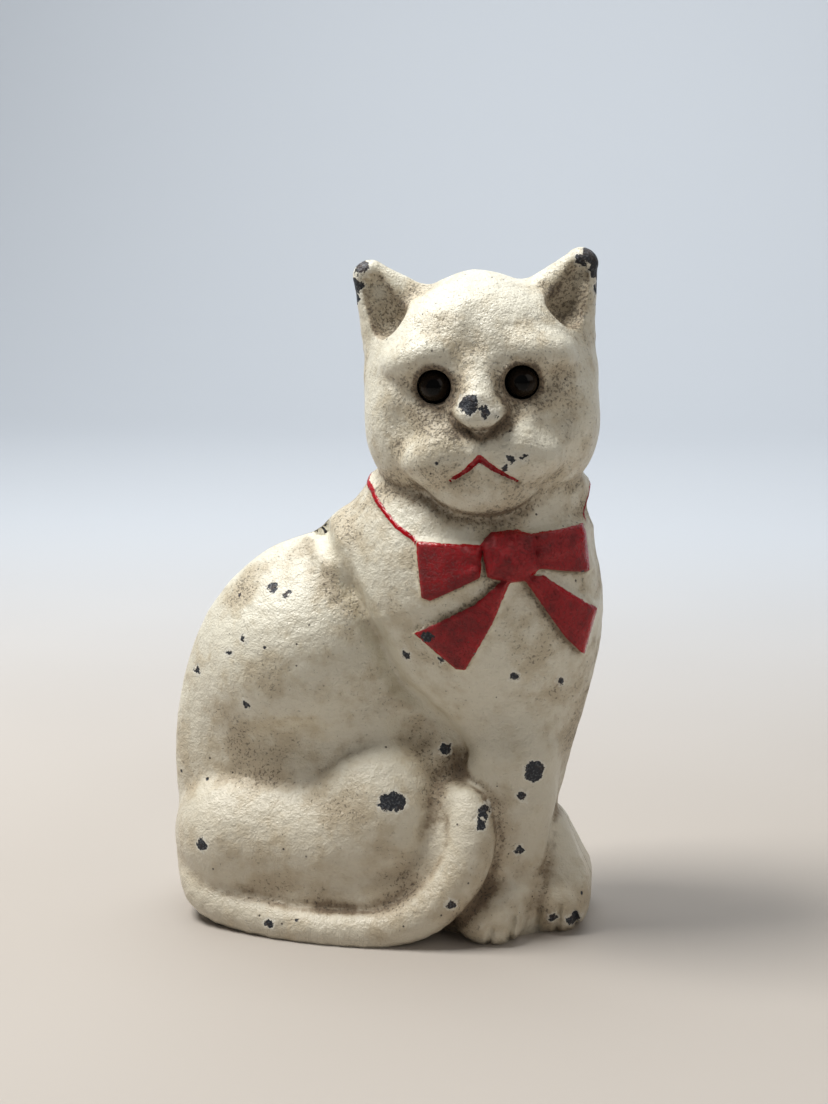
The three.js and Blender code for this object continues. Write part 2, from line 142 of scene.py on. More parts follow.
def limb(p, a, ra, b, rb, flat=1.0, ridge=False):
    """A round bar that tapers from ball a to ball b."""
    d = [b[i] - a[i] for i in range(3)]
    q = [p[i] - a[i] for i in range(3)]
    length2 = d[0]**2 + d[1]**2 + d[2]**2
    t = np.clip((q[0] * d[0] + q[1] * d[1] + q[2] * d[2]) / length2, 0, 1)
    y = (q[1] - t * d[1]) / flat
    if ridge:
        y = np.minimum(y, 0)
    reach = np.sqrt((q[0] - t * d[0])**2 + y * y + (q[2] - t * d[2])**2)
    return (reach - (ra + (rb - ra) * t)) * min(1.0, flat)


def smoothed(stations, parts):
    """Stations are x, y, z, radius; the result follows a smooth curve through them."""
    s = np.array(stations, float)
    s = np.vstack([2 * s[0] - s[1], s, 2 * s[-1] - s[-2]])
    out = []
    for i in range(1, len(s) - 2):
        for t in np.arange(parts) / parts:
            bend = (2 * s[i - 1] - 5 * s[i] + 4 * s[i + 1] - s[i + 2]) * t**2
            bend = bend + (3 * s[i] - s[i - 1] - 3 * s[i + 1] + s[i + 2]) * t**3
            out.append(0.5 * (2 * s[i] + (s[i + 1] - s[i - 1]) * t + bend))
    return out + [s[-2]]


def chain(p, stations, k, flat=1.0, ridge=False):
    d = None
    for a, b in zip(stations, stations[1:]):
        part = limb(p, a, a[3], b, b[3], flat, ridge)
        d = part if d is None else blend(d, part, k)
    return d


print("9 mm above a bar of radius 5 mm:", limb((0.0, 0.0, 9.0), (-5, 0, 0), 5, (5, 0, 0), 5), "mm away")

# %% [markdown]
# ## The head
# The face looks a little more to the front than the chest does, and leans. It is built in its
# own leaning frame, and mirrored by using the distance from the nose line.

# %% Head
HEAD_CENTRE, HEAD_YAW, HEAD_ROLL = (19.5, -2.0, 102.0), 3.0, 3.3
EYE_X, EYE_Z = 7.7, 1.4


def head_frame(p):
    return turned(p, HEAD_CENTRE, HEAD_YAW, HEAD_ROLL)


def head(p):
    h = head_frame(p)
    m = (np.sqrt(h[0]**2 + 0.25), h[1], h[2])
    d = egg(h, (0, 1.0, 3.2), (21.4, 17.3, 16.6))                          # skull
    d = blend(d, egg(h, (0, 0.5, 8.0), (11.5, 14.0, 13.0)), 3)             # crown
    d = blend(d, egg(h, (0, -1.0, -8.5), (20.1, 15.8, 15.6)), 6)           # jaw
    d = blend(d, egg(m, (10.4, -4.5, -5.5), (10.4, 11.5, 12.5)), 6)        # cheeks
    d = blend(d, egg(h, (0, -5.6, 9.5), (13, 9.0, 8)), 5)                  # forehead
    d = scoop(d, egg(m, (10.2, -20.6, 0.6), (8.0, 6.6, 4.3), 4), 2.4)      # eye hollows
    d = blend(d, egg(m, (9.6, -10.0, 6.6), (7.7, 6.9, 4.3), -14), 3.0)     # brows
    d = blend(d, limb(h, (0, -13.2, 6.0), 2.4, (0, -17.8, -1.8), 3.6), 3.0)
    d = blend(d, egg(m, (1.5, -14.6, -4.0), (4.3, 7.2, 3.1), 20), 2.4)     # nose
    d = blend(d, egg(h, (0, -13.3, -6.4), (3.2, 5.6, 3.0)), 2.0)
    d = blend(d, egg(m, (6.2, -13.9, -10.2), (8.6, 6.9, 6.3), -6), 2.4)    # whisker pads
    d = blend(d, egg(h, (0, -14.2, -10.2), (6.6, 6.5, 5.8)), 2)
    d = blend(d, egg(h, (0, -13.0, -15.6), (9.5, 6.4, 6.6)), 4)            # chin
    ear = limb(m, (15.2, 1.0, 10.5), 6.6, (19.5, -0.6, 21.0), 2.7)
    ear = blend(ear, limb(m, (9.0, 1.5, 13.4), 4.6, (18.8, -0.3, 21.0), 2.7), 2)
    d = blend(d, ear, 2.5)
    d = scoop(d, limb(m, (15.9, -5.2, 13.4), 3.5, (18.4, -4.0, 19.0), 2.4), 2.2)
    d = scoop(d, limb(h, (0, -17.4, 9.0), 2.0, (0, -16.6, 15.0), 3.0), 3.0)  # furrow
    return scoop(d, egg(m, (15.5, -20.5, -4.6), (5.6, 6.6, 5.0), 30), 4.0)  # under the cheekbone


print("eyes", 2 * EYE_X, "mm apart, head leaning by", HEAD_ROLL, "degrees")

# %% [markdown]
# ## The body
# Seen from the front of the bank the cat is in profile: a big back and belly, the near haunch
# over them, the chest running down into the forelegs, and the tail laid round the base.

# %% Body, haunch, legs and tail
# stations are x, y, z and radius
CHEST = smoothed([
    (17.0, 0, 66.5, 25.3), (20.0, 0, 59, 21.8), (23.6, 0, 50, 16.8),
    (26.2, 0, 38, 11.4), (27.8, 0, 27, 7.0), (28.3, 0, 16, 4.4)], 2)
LEG = [(25.0, -4.0, 44, 9.5), (26.8, -6.0, 34, 8.2), (28.0, -7.0, 26, 6.2), (28.2, -7.6, 15, 4.9)]
TAIL = smoothed([
    (-33.6, 0, 16, 4.0), (-34.4, -5.5, 10.5, 4.1), (-32.0, -10.5, 5.8, 4.2),
    (-25.0, -14.0, 3.4, 4.0), (-12.0, -17.8, 2.2, 3.6), (0.0, -18.7, 2.2, 3.6),
    (7.4, -18.2, 4.0, 4.0), (13.2, -17.3, 7.8, 4.5), (17.2, -16.3, 12.8, 4.6),
    (19.1, -15.2, 18.2, 4.5), (19.2, -14.0, 22.2, 4.3), (18.6, -12.6, 24.8, 3.9)], 3)
WEB = [(-27, -8.0, 8.0, 6.6), (-12, -11.6, 6.5, 6.2), (2, -12.6, 7.5, 6.0), (11, -11.8, 11.5, 5.8),
       (15.4, -11.2, 17.5, 5.4), (16.4, -9.8, 24.0, 4.8)]
LEG_SIDE = [(20.5, -9.5, 6.0, 4.6), (23.2, -9.6, 13.0, 4.6), (23.6, -9.0, 22.0, 4.8),
            (22.6, -7.5, 31.0, 5.0)]


def body(p):
    d = egg(p, (-8.5, 0, 28.5), (31.7, 11.5, 45.3))                        # back and belly
    d = blend(d, egg(p, (-13.5, 0, 50.5), (21.5, 16.3, 17.2), 42), 8)      # flank
    d = blend(d, egg(p, (-3.0, 0, 70.0), (8.5, 12, 9.5)), 5)               # shoulder blade
    d = scoop(d, egg(p, (-17, -19.3, 34.0), (25, 8.6, 8.4), 5), 1.2)       # under the flank
    d = scoop(d, egg(p, (9.5, -15.0, 37.0), (8.4, 8.4, 6.6), -40), 2.0)    # behind the foreleg
    return blend(d, egg(p, (-21.5, 0, 12), (17.8, 15, 14)), 5)             # rump


def haunch(q):
    d = limb(q, (-25.5, -3.5, 15.5), 13.8, (-8, -6.2, 16.0), 13.2, ridge=True)
    d = blend(d, egg(q, (1.0, -7.0, 20.2), (13.4, 12.6, 15.9), ridge=True), 5)
    return blend(d, egg(q, (-2, -5.5, 9.5), (13, 10.5, 10), ridge=True), 5)


def paws(p, q):
    far = limb(q, (32.2, -1.6, 16.6), 5.0, (35.0, -4.4, 7.6), 6.3, ridge=True)
    far = blend(far, egg(q, (34.8, -5.4, 5.0), (6.4, 7.2, 6.6), ridge=True), 2)
    near = limb(p, (27.0, -8.0, 9.5), 5.2, (23.4, -13.0, 4.6), 5.6, ridge=True)
    near = blend(near, egg(p, (22.8, -13.3, 3.8), (6.4, 6.2, 5.2), ridge=True), 2)
    return blend(far, np.maximum(near, p[1]), 2.2)


print("stations: chest", len(CHEST), "tail", len(TAIL))

# %% [markdown]
# ## The whole cat and its hollow
# The lumps are joined from the large to the small, so the last ones keep their shape best. Most
# parts are the same on both sides of the parting plane: q is a point folded over to the front.
# The near paw, the tail and a swelling beside the foreleg are on the front only. The hollow is
# the room of the sand core: a smaller cat of plain lumps, which is kept a wall's thickness
# inside the skin and above the base.

# %% The cat and its sand core
def cat(p):
    q = (p[0], -np.abs(p[1]), p[2])
    d = blend(body(p), egg(q, (22, -3.5, 4), (15, 10.5, 12)), 4)
    d = blend(d, blend(chain(p, CHEST, 3, 0.8), chain(q, LEG, 3), 4), 3)
    d = blend(d, haunch(q), 2.6)
    d = blend(d, chain(q, WEB, 2, ridge=True), 4)
    d = blend(d, chain(p, LEG_SIDE, 2), 3)
    d = blend(d, egg(p, (19.6, 0, 83), (19.9, 14.5, 9)), 4)                # neck
    d = blend(d, head(p), 1.8)
    d = blend(d, paws(p, q), 2.2)
    return blend(d, np.maximum(chain(p, TAIL, 0.6, ridge=True), p[1]), 1.8)


def core(p):
    """The hollow left by the sand core."""
    d = egg(p, (-11, 0, 40), (24.5, 12.2, 30))
    d = blend(d, egg(p, (-19, 0, 18), (16.5, 12.5, 14)), 6)
    d = blend(d, egg(p, (17.0, 0, 66), (21.4, 16.4, 20)), 4)
    d = blend(d, limb(p, (19, 0, 60), 15, (25.5, 0, 40), 7.0, 0.85), 4)
    d = blend(d, egg(p, (19.6, 0, 82), (15.0, 10.5, 12)), 4)
    d = blend(d, egg(p, (19.5, 1.2, 102), (16.5, 9.8, 15.5)), 4)
    d = scoop(d, -(cat(p) + WALL), 0.5)
    return np.maximum(d, FLOOR_THICK - p[2])


print("walls at least", WALL, "mm, base", FLOOR_THICK, "mm")

# %% [markdown]
# ## Relief: bow, ribbon, mouth, toes
# These were cut into the pattern's front face, so each is a height that depends only on where
# you look from the front. Flat outlines carry the bow, and thin lines carry the creases. The
# same outlines later say where the red enamel stops.

# %% Outlines and lines on the front face
BOW = {
    "left_loop": [(9.5, 75.7), (21.4, 75.4), (21.2, 69.7), (12.2, 65.3), (10.7, 65.8)],
    "right_loop": [(30.2, 77.1), (38.7, 77.8), (39.3, 76.3), (40.2, 69.3), (39.6, 69.1),
                   (31.0, 71.0)],
    "left_end": [(25.3, 69.4), (20.0, 64.7), (9.1, 58.8), (16.7, 52.4), (18.4, 52.3),
                 (23.3, 61.2), (26.4, 69.0)],
    "right_end": [(28.6, 69.4), (32.0, 69.7), (41.7, 62.1), (39.4, 53.7), (36.1, 57.8),
                  (32.0, 64.2)],
}
KNOT = [(21.1, 75.6), (22.9, 77.6), (26.9, 77.9), (30.8, 76.9), (31.6, 71.2), (29.7, 68.9),
        (26.3, 68.6), (22.4, 69.7)]
MOUTH = [(-5.6, -14.9), (-2.8, -13.2), (-0.2, -10.9), (2.4, -13.2), (6.2, -15.6)]
NOSE_PAD = [(-4.6, -3.4), (0.1, -8.3), (4.6, -4.2)]
CREASE = [(-10.1, 74.3), (-6.4, 71.1), (-3.6, 65.8), (-1.4, 63.0), (1.2, 57.8), (3.6, 52.5),
          (5.6, 47.1), (9.4, 43.6), (13.6, 39.4), (17.2, 35.0), (20.2, 30.6)]
TOE_LINES = [
    [(31.6, 0.4), (32.0, 4.6)], [(35.2, 0.4), (35.8, 5.8)], [(38.8, 0.6), (38.6, 4.4)],
    [(23.0, 0.2), (23.6, 3.8)], [(26.6, 0.6), (27.4, 5.2)]]
print("bow pieces:", len(BOW) + 1, "toe lines:", len(TOE_LINES))

# %% [markdown]
# A relief needs one question answered at every point: how far is the nearest edge or line? The
# sign tells inside from outside, by counting how often a level ray crosses the outline. A ramp
# turns the distance into a soft step, and a box round each detail saves asking it everywhere.

# %% Distance to an outline or a line
def inside_outline(x, z, corners):
    """Signed distance to a flat outline, negative inside."""
    best = np.full_like(x, 1e6)
    sign = np.ones_like(x)
    for (ax, az), (bx, bz) in zip(corners, corners[1:] + corners[:1]):
        ex, ez, wx, wz = bx - ax, bz - az, x - ax, z - az
        t = np.clip((wx * ex + wz * ez) / (ex * ex + ez * ez), 0, 1)
        best = np.minimum(best, (wx - ex * t)**2 + (wz - ez * t)**2)
        below, above, left = z >= az, z < bz, ex * wz > ez * wx
        flip = (below & above & left) | (~below & ~above & ~left)
        sign = np.where(flip, -sign, sign)
    return sign * np.sqrt(best)


def from_line(x, z, corners):
    best = np.full_like(x, 1e6)
    for (ax, az), (bx, bz) in zip(corners, corners[1:]):
        ex, ez, wx, wz = bx - ax, bz - az, x - ax, z - az
        t = np.clip((wx * ex + wz * ez) / (ex * ex + ez * ez), 0, 1)
        best = np.minimum(best, (wx - ex * t)**2 + (wz - ez * t)**2)
    return np.sqrt(best)


def ramp(value, start, end):
    """0 at start, 1 at end, smooth between."""
    t = np.clip((value - start) / (end - start), 0, 1)
    return t * t * (3 - 2 * t)


def within(p, low, high, rule, outside):
    """rule evaluated only inside a box, since most points are far from every detail."""
    near = np.ones(p[0].shape, bool)
    for value, a, b in zip(p, low, high):
        near &= (value > a) & (value < b)
    out = np.full(p[0].shape, outside, dtype=p[0].dtype)
    if near.any():
        out[near] = rule(tuple(value[near] for value in p))
    return out


print("soft step, halfway:", float(ramp(0.5, 0.0, 1.0)))

# %% [markdown]
# Red enamel lies on the bow, on the mouth, and on the ribbon that runs round the neck on both
# castings. The ribbon is given as a height for each angle round the neck, with 0 degrees at
# the front, and it stops where the bow covers it.

# %% Where the red enamel stops
BOW_BOX = (2, -40, 46), (48, -0.2, 84)
NECK_X, RIBBON_HALF = 19.6, 0.42
UNDER_BOW = (-28.5, 73.5)               # degrees between which the bow hides the ribbon
RIBBON = [(-180, 86.5), (-130, 86.3), (-90, 85.0), (-68.4, 83.3), (-53.2, 80.6), (-41.7, 77.9),
          (-29.4, 75.7), (-28, 75.0), (73, 75.5), (73.7, 77.7), (80, 81.0), (88, 83.5),
          (95, 84.6), (130, 86.0), (180, 86.5)]


def bow_outline(p):
    return within(p, *BOW_BOX, lambda s: np.minimum.reduce(
        [inside_outline(s[0], s[2], outline) for outline in [*BOW.values(), KNOT]]), FAR)


def ribbon_line(p):
    """Distance from the ribbon that circles the neck, minus half its width."""
    def rule(s):
        angle = np.degrees(np.arctan2(s[0] - NECK_X, -s[1]))
        stations = np.array(RIBBON)
        height = np.interp(angle, stations[:, 0], stations[:, 1])
        slope = (np.interp(angle + 2, stations[:, 0], stations[:, 1]) - height) / 1.4
        off = np.abs(s[2] - height) / np.sqrt(1 + slope**2)
        hidden = (angle > UNDER_BOW[0]) & (angle < UNDER_BOW[1])
        return np.where(hidden, FAR, off - RIBBON_HALF)
    return within(p, (-6, -30, 70), (46, 30, 92), rule, FAR)


def mouth_line(p):
    def rule(s):
        h = head_frame(s)
        return from_line(h[0], h[2], MOUTH) - 0.58 + 0.055 * np.abs(h[0])
    return within(p, (8, -40, 82), (34, -12, 96), rule, FAR)


def red_edge(p):
    """Signed distance to the edge of the red enamel, negative where it is red."""
    return np.minimum(np.minimum(bow_outline(p), ribbon_line(p)), mouth_line(p))


print("ribbon stations:", len(RIBBON))

# %% [markdown]
# Now the heights themselves. The bow stands proud on a sloped white edge, its knot is a small
# ball, and its loops are pinched where they enter the knot.

# %% Heights of the bow
BOW_RISE, KNOT_RISE = 1.25, 1.7
BOW_X, BOW_Z = 26.3, 73.0               # where the loops meet


def bow_height(p):
    def rule(s):
        x, z = s[0], s[2]
        total = np.zeros_like(x)
        for outline in BOW.values():
            off = inside_outline(x, z, outline)
            rise = BOW_RISE * ramp(off, 0.9, -0.5)
            pinch = np.hypot(x - BOW_X, z - BOW_Z)
            folds = 0.34 * np.sin(np.arctan2(z - BOW_Z, x - BOW_X) * 13) * ramp(pinch, 12, 5)
            rise = rise + (0.45 * ramp(pinch, 10, 5) + folds) * ramp(off, 0.0, -1.0)
            total = np.maximum(total, rise)
        off = inside_outline(x, z, KNOT)
        lumps = 0.22 * np.sin(x * 1.9) * np.sin(z * 1.5 + 1) * ramp(off, -0.4, -1.6)
        ball = KNOT_RISE * ramp(off, 0.7, -0.8) + 1.5 * ramp(off, 0.0, -4.2) + lumps
        return np.maximum(total, ball)
    return within(p, *BOW_BOX, rule, 0.0)


print("the bow stands", BOW_RISE, "mm proud and its knot", KNOT_RISE, "mm at the edge")

# %% [markdown]
# The cut lines are grooves: the mouth, the edge of the nose pad, faint rows of whiskers, the
# toes, and the crease where the shoulder meets the chest, which grows shallow at its lower end.
# Each eye socket has a low welt round it.

# %% Grooves and welts
EYE_RING, WELT = 3.45, 0.40


def line_height(p):
    """Grooves, as negative heights."""
    def face(s):
        h = head_frame(s)
        deep = 0.75 * ramp(from_line(h[0], h[2], MOUTH), 1.0, 0.0)
        deep = np.maximum(deep, 0.5 * ramp(from_line(h[0], h[2], NOSE_PAD), 0.8, 0.0))
        lip = from_line(h[0], h[2], [(0.1, -8.1), (-0.2, -10.9)])
        deep = np.maximum(deep, 0.5 * ramp(lip, 0.8, 0.0))
        for side in (-1, 1):
            x = h[0] * side
            whisker = np.sin((h[2] + 0.25 * x) * 4.6) * ramp(x, 2.5, 5) * ramp(x, 11, 8)
            deep = deep + 0.07 * (1 + whisker) * ramp(np.abs(h[2] + 9.0), 4, 2)
        return deep
    cuts = within(p, (6, -40, 82), (36, -10, 101), face, 0.0)

    def toes(s):
        off = np.minimum.reduce([from_line(s[0], s[2], line) for line in TOE_LINES])
        return 0.8 * ramp(off, 1.0, 0.0)
    cuts = cuts + within(p, (17, -40, -1), (42, -5, 11), toes, 0.0)

    def shoulder(s):
        end = np.hypot(s[0] - CREASE[-1][0], s[2] - CREASE[-1][1])
        return (0.5 + 1.2 * ramp(end, 2.0, 20.0)) * ramp(from_line(s[0], s[2], CREASE), 3.2, 0.0)
    return -(cuts + within(p, (-16, -40, 25), (25, -0.2, 80), shoulder, 0.0))


def eye_rims(p):
    """A low welt of paint and iron round each eye socket."""
    def rule(s):
        h = head_frame(s)
        ring = np.hypot(np.abs(h[0]) - EYE_X, h[2] - EYE_Z)
        return WELT * ramp(np.abs(ring - EYE_RING), 0.75, 0.0)
    return within(p, (6, -40, 96), (34, -8, 110), rule, 0.0)


def finished_cat(p):
    ribbon = 0.3 * ramp(ribbon_line(p), 0.5, -0.3)
    return cat(p) - bow_height(p) - line_height(p) - ribbon - eye_rims(p)


print("eye welts", WELT, "mm high, on rings of radius", EYE_RING, "mm")

# %% [markdown]
# ## From field to mesh
# A voxel grid samples the field and a dual-contouring mesher turns its zero level into quads.
# Sampling the whole box finely would be slow, so a coarse pass first finds the blocks that the
# surface passes through. The mesh is then slid onto the exact field, which removes the steps.

# %% Mesher
HALF_DIAGONAL, MARGIN = 0.875, 1.3      # of a block's edge; room for a field that is not exact


def sample_blocks(field, low, high, step, edge=16):
    count = [int(np.ceil((b - a) / step / edge)) for a, b in zip(low, high)]
    grid = np.empty([n * edge for n in count], np.float32)
    reach = step * edge * HALF_DIAGONAL * MARGIN
    starts = np.indices(count).reshape(3, -1)
    middle = np.array(low)[:, None] + (starts * edge + edge / 2) * step
    at_middle = field(tuple(middle.astype(np.float32)))
    blocks = grid.reshape(count[0], edge, count[1], edge, count[2], edge)
    blocks[:] = at_middle.reshape(count)[:, None, :, None, :, None]
    near = np.flatnonzero(np.abs(at_middle) < reach)
    cells = np.indices((edge, edge, edge)).reshape(3, -1)
    for batch in np.array_split(near, max(1, len(near) // 48)):
        index = starts[:, batch, None] * edge + cells[:, None, :]
        place = np.array(low)[:, None, None] + index * step
        value = field(tuple(place.reshape(3, -1).astype(np.float32)))
        for b, v in zip(batch, value.reshape(len(batch), edge, edge, edge)):
            i, j, k = starts[:, b]
            blocks[i, :, j, :, k, :] = v
    return grid, len(near)


def slope_of(field, p, step=0.08):
    here = field(p)
    rise = []
    for axis in range(3):
        moved = list(p)
        moved[axis] = p[axis] + step
        rise.append((field(tuple(moved)) - here) / step)
    return here, np.array(rise)


def surface(field, low, high, step, settle=2):
    grid, used = sample_blocks(field, low, high, step)
    volume = openvdb.FloatGrid(4.0)
    volume.copyFromArray(grid)
    points, quads = volume.convertToQuads(isovalue=0.0)
    points = np.asarray(points, float) * step + np.array(low)
    for _ in range(settle):
        here, rise = slope_of(field, tuple(points.T))
        length2 = np.maximum((rise**2).sum(0), 0.3)
        points = points - (rise * np.clip(here / length2, -step / 2, step / 2)).T
    return points, np.asarray(quads), used


print("an egg to try the mesher:", len(surface(
    lambda p: egg(p, (8, 8, 8), (6, 5, 4)), (0, 0, 0), (16, 16, 16), 1.0)[0]), "points")

# %% [markdown]
# A piece's place is in its mesh, in metres, and its object stays at the origin. Later the
# measured frame moves the objects, and patterns that follow Object coordinates stay put.

# %% Points and faces to an object
def make_object(name, points, faces, smooth=True):
    mesh = bpy.data.meshes.new(name)
    mesh.from_pydata(to_frame(points).tolist(), [], [list(f) for f in faces])
    mesh.validate()
    if smooth:
        mesh.shade_smooth()
    made = bpy.data.objects.new(name, mesh)
    bpy.context.scene.collection.objects.link(made)
    return made


print("the pattern's origin, m:", to_frame((0, 0, 0)).tolist())

# %% [markdown]
# ## Sand-cast skin
# Iron poured in sand keeps the sand's texture. Fine grain can be faked in a material, but the
# coarse part shows on the outline, so a little lattice noise moves the vertices themselves.

# %% Lattice noise
def sand(p, size, seed):
    q = np.array(p) / size
    cell = np.floor(q).astype(np.int64)
    part = q - cell
    part = part * part * (3 - 2 * part)
    total = np.zeros(q.shape[1])
    for corner in np.ndindex(2, 2, 2):
        c = cell + np.array(corner)[:, None]
        mix = (c[0] * 73856093 ^ c[1] * 19349663 ^ c[2] * 83492791 ^ seed * 2654435761)
        mix = (mix ^ (mix >> 13)) * 1274126177 & 0xFFFFFFFF
        value = ((mix ^ (mix >> 16)) & 0xFFFF) / 65535.0
        weight = np.ones(q.shape[1])
        for axis, bit in enumerate(corner):
            weight = weight * (part[axis] if bit else 1 - part[axis])
        total += value * weight
    return total * 2 - 1


print("noise at three points:", sand(np.array([[0.2, 1.7, 3.1]] * 3), 1.0, 3).round(2))

# %% [markdown]
# The cat's skin is meshed a little below its base, so that the saw cut makes the base flat, and
# then pushed out or in by two sizes of noise. The core is smooth and needs fewer points.

# %% Skin and core
BELOW_BASE = 2.5
points, quads, used = surface(lambda p: np.maximum(finished_cat(p), -BELOW_BASE - p[2]),
                              LOW, HIGH, PATTERN_STEP)
here, rise = slope_of(cat, tuple(points.T))
outward = rise / np.maximum(np.sqrt((rise**2).sum(0)), 1e-6)
swell = 0.10 * sand(points.T, size=3.4, seed=3) + 0.07 * sand(points.T, size=1.5, seed=5)
skin = make_object("skin", points + (outward * swell).T, quads)
print("skin:", len(points), "points from", used, "blocks")
core_points, core_quads, used = surface(core, LOW, HIGH, CORE_STEP)
core_solid = make_object("core", core_points, core_quads)
print("core:", len(core_points), "points from", used, "blocks")

# %% [markdown]
# ## Cutting tools
# The rest is bench work: a saw cut on the parting plane, bored holes, a milled slot. Turned
# cutters and plain blocks are subtracted with the boolean modifier's manifold solver, which
# keeps every edge crisp and closed. The saw's block is divided into small faces, because the
# cut keeps the tool's faces, and a face as large as the cat shades badly.

# %% Turned shapes, blocks and booleans
def turned_shape(profile, sides=48):
    """Points and faces of a shape turned about Y, from (radius, y) pairs that start and end on it."""
    points, rings = [], []
    for r, y in profile:
        if r < 1e-6:
            rings.append([len(points)] * sides)
            points.append((0.0, y, 0.0))
            continue
        start = len(points)
        angles = [2 * math.pi * k / sides for k in range(sides)]
        points += [(r * math.sin(a), y, r * math.cos(a)) for a in angles]
        rings.append(list(range(start, start + sides)))
    faces = []
    for lower, upper in zip(rings, rings[1:]):
        for k in range(sides):
            j = (k + 1) % sides
            face = list(dict.fromkeys([lower[k], lower[j], upper[j], upper[k]]))
            if len(face) > 2:
                faces.append(face)
    return np.array(points), faces


def turned_object(name, profile, x, z, sides=48):
    points, faces = turned_shape(profile, sides)
    return face_out(make_object(name, points + np.array([x, 0, z]), faces, smooth=False))


def face_out(made):
    """Turns every face outwards, whichever way the profile ran."""
    work = bmesh.new()
    work.from_mesh(made.data)
    bmesh.ops.recalc_face_normals(work, faces=work.faces)
    work.to_mesh(made.data)
    work.free()
    return made


def bar(radius, start, end, x, z, sides=48):
    return turned_object("bar", [(0, start), (radius, start), (radius, end), (0, end)], x, z, sides)


def block(low, high, cuts=0):
    """A rectangular tool. Cuts divide its faces, so what it leaves behind has small faces too."""
    corners = [(x, y, z) for x in (low[0], high[0]) for y in (low[1], high[1])
               for z in (low[2], high[2])]
    faces = [(0, 1, 3, 2), (4, 6, 7, 5), (0, 4, 5, 1), (2, 3, 7, 6), (0, 2, 6, 4), (1, 5, 7, 3)]
    made = face_out(make_object("block", np.array(corners), faces, smooth=False))
    if cuts:
        work = bmesh.new()
        work.from_mesh(made.data)
        bmesh.ops.subdivide_edges(work, edges=work.edges[:], cuts=cuts, use_grid_fill=True)
        work.to_mesh(made.data)
        work.free()
    return made


def combine(base, tool, operation, keep=False):
    """Cuts, joins or trims the base with the tool, and removes the tool unless it is kept."""
    step = base.modifiers.new("combine", "BOOLEAN")
    step.operation, step.object, step.solver = operation, tool, "MANIFOLD"
    graph = bpy.context.evaluated_depsgraph_get()
    result = bpy.data.meshes.new_from_object(base.evaluated_get(graph))
    base.modifiers.clear()
    base.data = result
    if not keep:
        bpy.data.objects.remove(tool)
    return base


def copy_of(source, name):
    """A copy with a mesh of its own."""
    twin = source.copy()
    twin.data = source.data.copy()
    twin.name = name
    bpy.context.scene.collection.objects.link(twin)
    return twin


print("a bar has", len(turned_shape([(0, 0), (1, 0), (1, 1), (0, 1)])[1]), "faces")

# %% [markdown]
# ## The two castings
# Both start as the whole skin. A block keeps one side of the parting plane and the flat base,
# the core is subtracted, and each half gets its own fittings. The front half has a boss on its
# inner wall, tapped for the screw.

# %% Front half: shell, boss and tapped hole
SCREW_X, SCREW_Z, SCREW_R = -9.0, 46.0, 2.35
SCREW_TIP, SCREW_SEAT = -10.8, 14.4     # along y, as are the next two
BOSS_R, BOSS_ROOT, BOSS_FACE = 5.4, -12.4, -0.9
HALF_GAP = GAP / 2
SAW_X, SAW_Y, SAW_Z, SAW_CUTS = 60, 40, 140, 63
front = combine(copy_of(skin, "front_casting_half"),
                block((-SAW_X, -SAW_Y, 0), (SAW_X, -HALF_GAP, SAW_Z), SAW_CUTS), "INTERSECT")
front = combine(front, core_solid, "DIFFERENCE", keep=True)
boss = combine(bar(BOSS_R, BOSS_ROOT, BOSS_FACE, SCREW_X, SCREW_Z), skin, "INTERSECT", keep=True)
front = combine(front, boss, "UNION")
front = combine(front, bar(SCREW_R + GAP, SCREW_TIP - 2 * GAP, 4, SCREW_X, SCREW_Z), "DIFFERENCE")
print("front casting with its boss:", len(front.data.polygons), "faces")

# %% [markdown]
# Three lugs reach past the parting plane into the other half and keep the two in line. Each one
# starts inside the hollow and goes towards the wall until a corner would touch the other half's
# wall. Its root runs on into the front half's wall.

# %% Front half: locating lugs
LUG_WIDTH, LUG_THICK, LUG_REACH = 6.0, 3.2, 2.2
LUG_CLEAR, ROOT_INTO_WALL = 1.6 * GAP, 1.8
ROOT_BACK, LUG_BACK = -5, -4.9
PROBE_LENGTH, PROBE_STEP = 40.0, 0.05
LUGS = [((-14, 24), (-1, 0)), ((17, 60), (1, 0)), ((19.5, 100), (0, 1))]   # start and way, in x, z


def room_for_lug(start, way):
    """How far a lug can go along its way before one of its corners is too near the wall."""
    room = PROBE_LENGTH
    for side in (-LUG_WIDTH / 2, 0, LUG_WIDTH / 2):
        for y in (0.0, LUG_REACH):
            t = np.arange(0, PROBE_LENGTH, PROBE_STEP)
            p = (start[0] + way[0] * t + way[1] * side, np.full_like(t, y),
                 start[1] + way[1] * t + way[0] * side)
            room = min(room, t[np.argmax(core(p) >= -LUG_CLEAR)])
    return room


def lug_block(start, way, inner, outer, back, forward):
    """A block as wide as a lug, from inner to outer along its way and back to forward in y."""
    a = (start[0] + way[0] * inner, start[1] + way[1] * inner)
    b = (start[0] + way[0] * outer, start[1] + way[1] * outer)
    wide_x, wide_z = abs(way[1]) * LUG_WIDTH / 2, abs(way[0]) * LUG_WIDTH / 2
    return block((min(a[0], b[0]) - wide_x, back, min(a[1], b[1]) - wide_z),
                 (max(a[0], b[0]) + wide_x, forward, max(a[1], b[1]) + wide_z))


for start, way in LUGS:
    room = room_for_lug(start, way)
    root = lug_block(start, way, room - LUG_THICK, room + ROOT_INTO_WALL, ROOT_BACK, -HALF_GAP)
    front = combine(front, combine(root, skin, "INTERSECT", keep=True), "UNION")
    lug = lug_block(start, way, room - LUG_THICK, room, LUG_BACK, LUG_REACH)
    front = combine(front, lug, "UNION")
    print("lug", round(float(room), 2), "mm from its start")

# %% [markdown]
# The eye sockets are bored square to the leaning face, a gap wider than the glass, with room
# behind it for the putty bed.

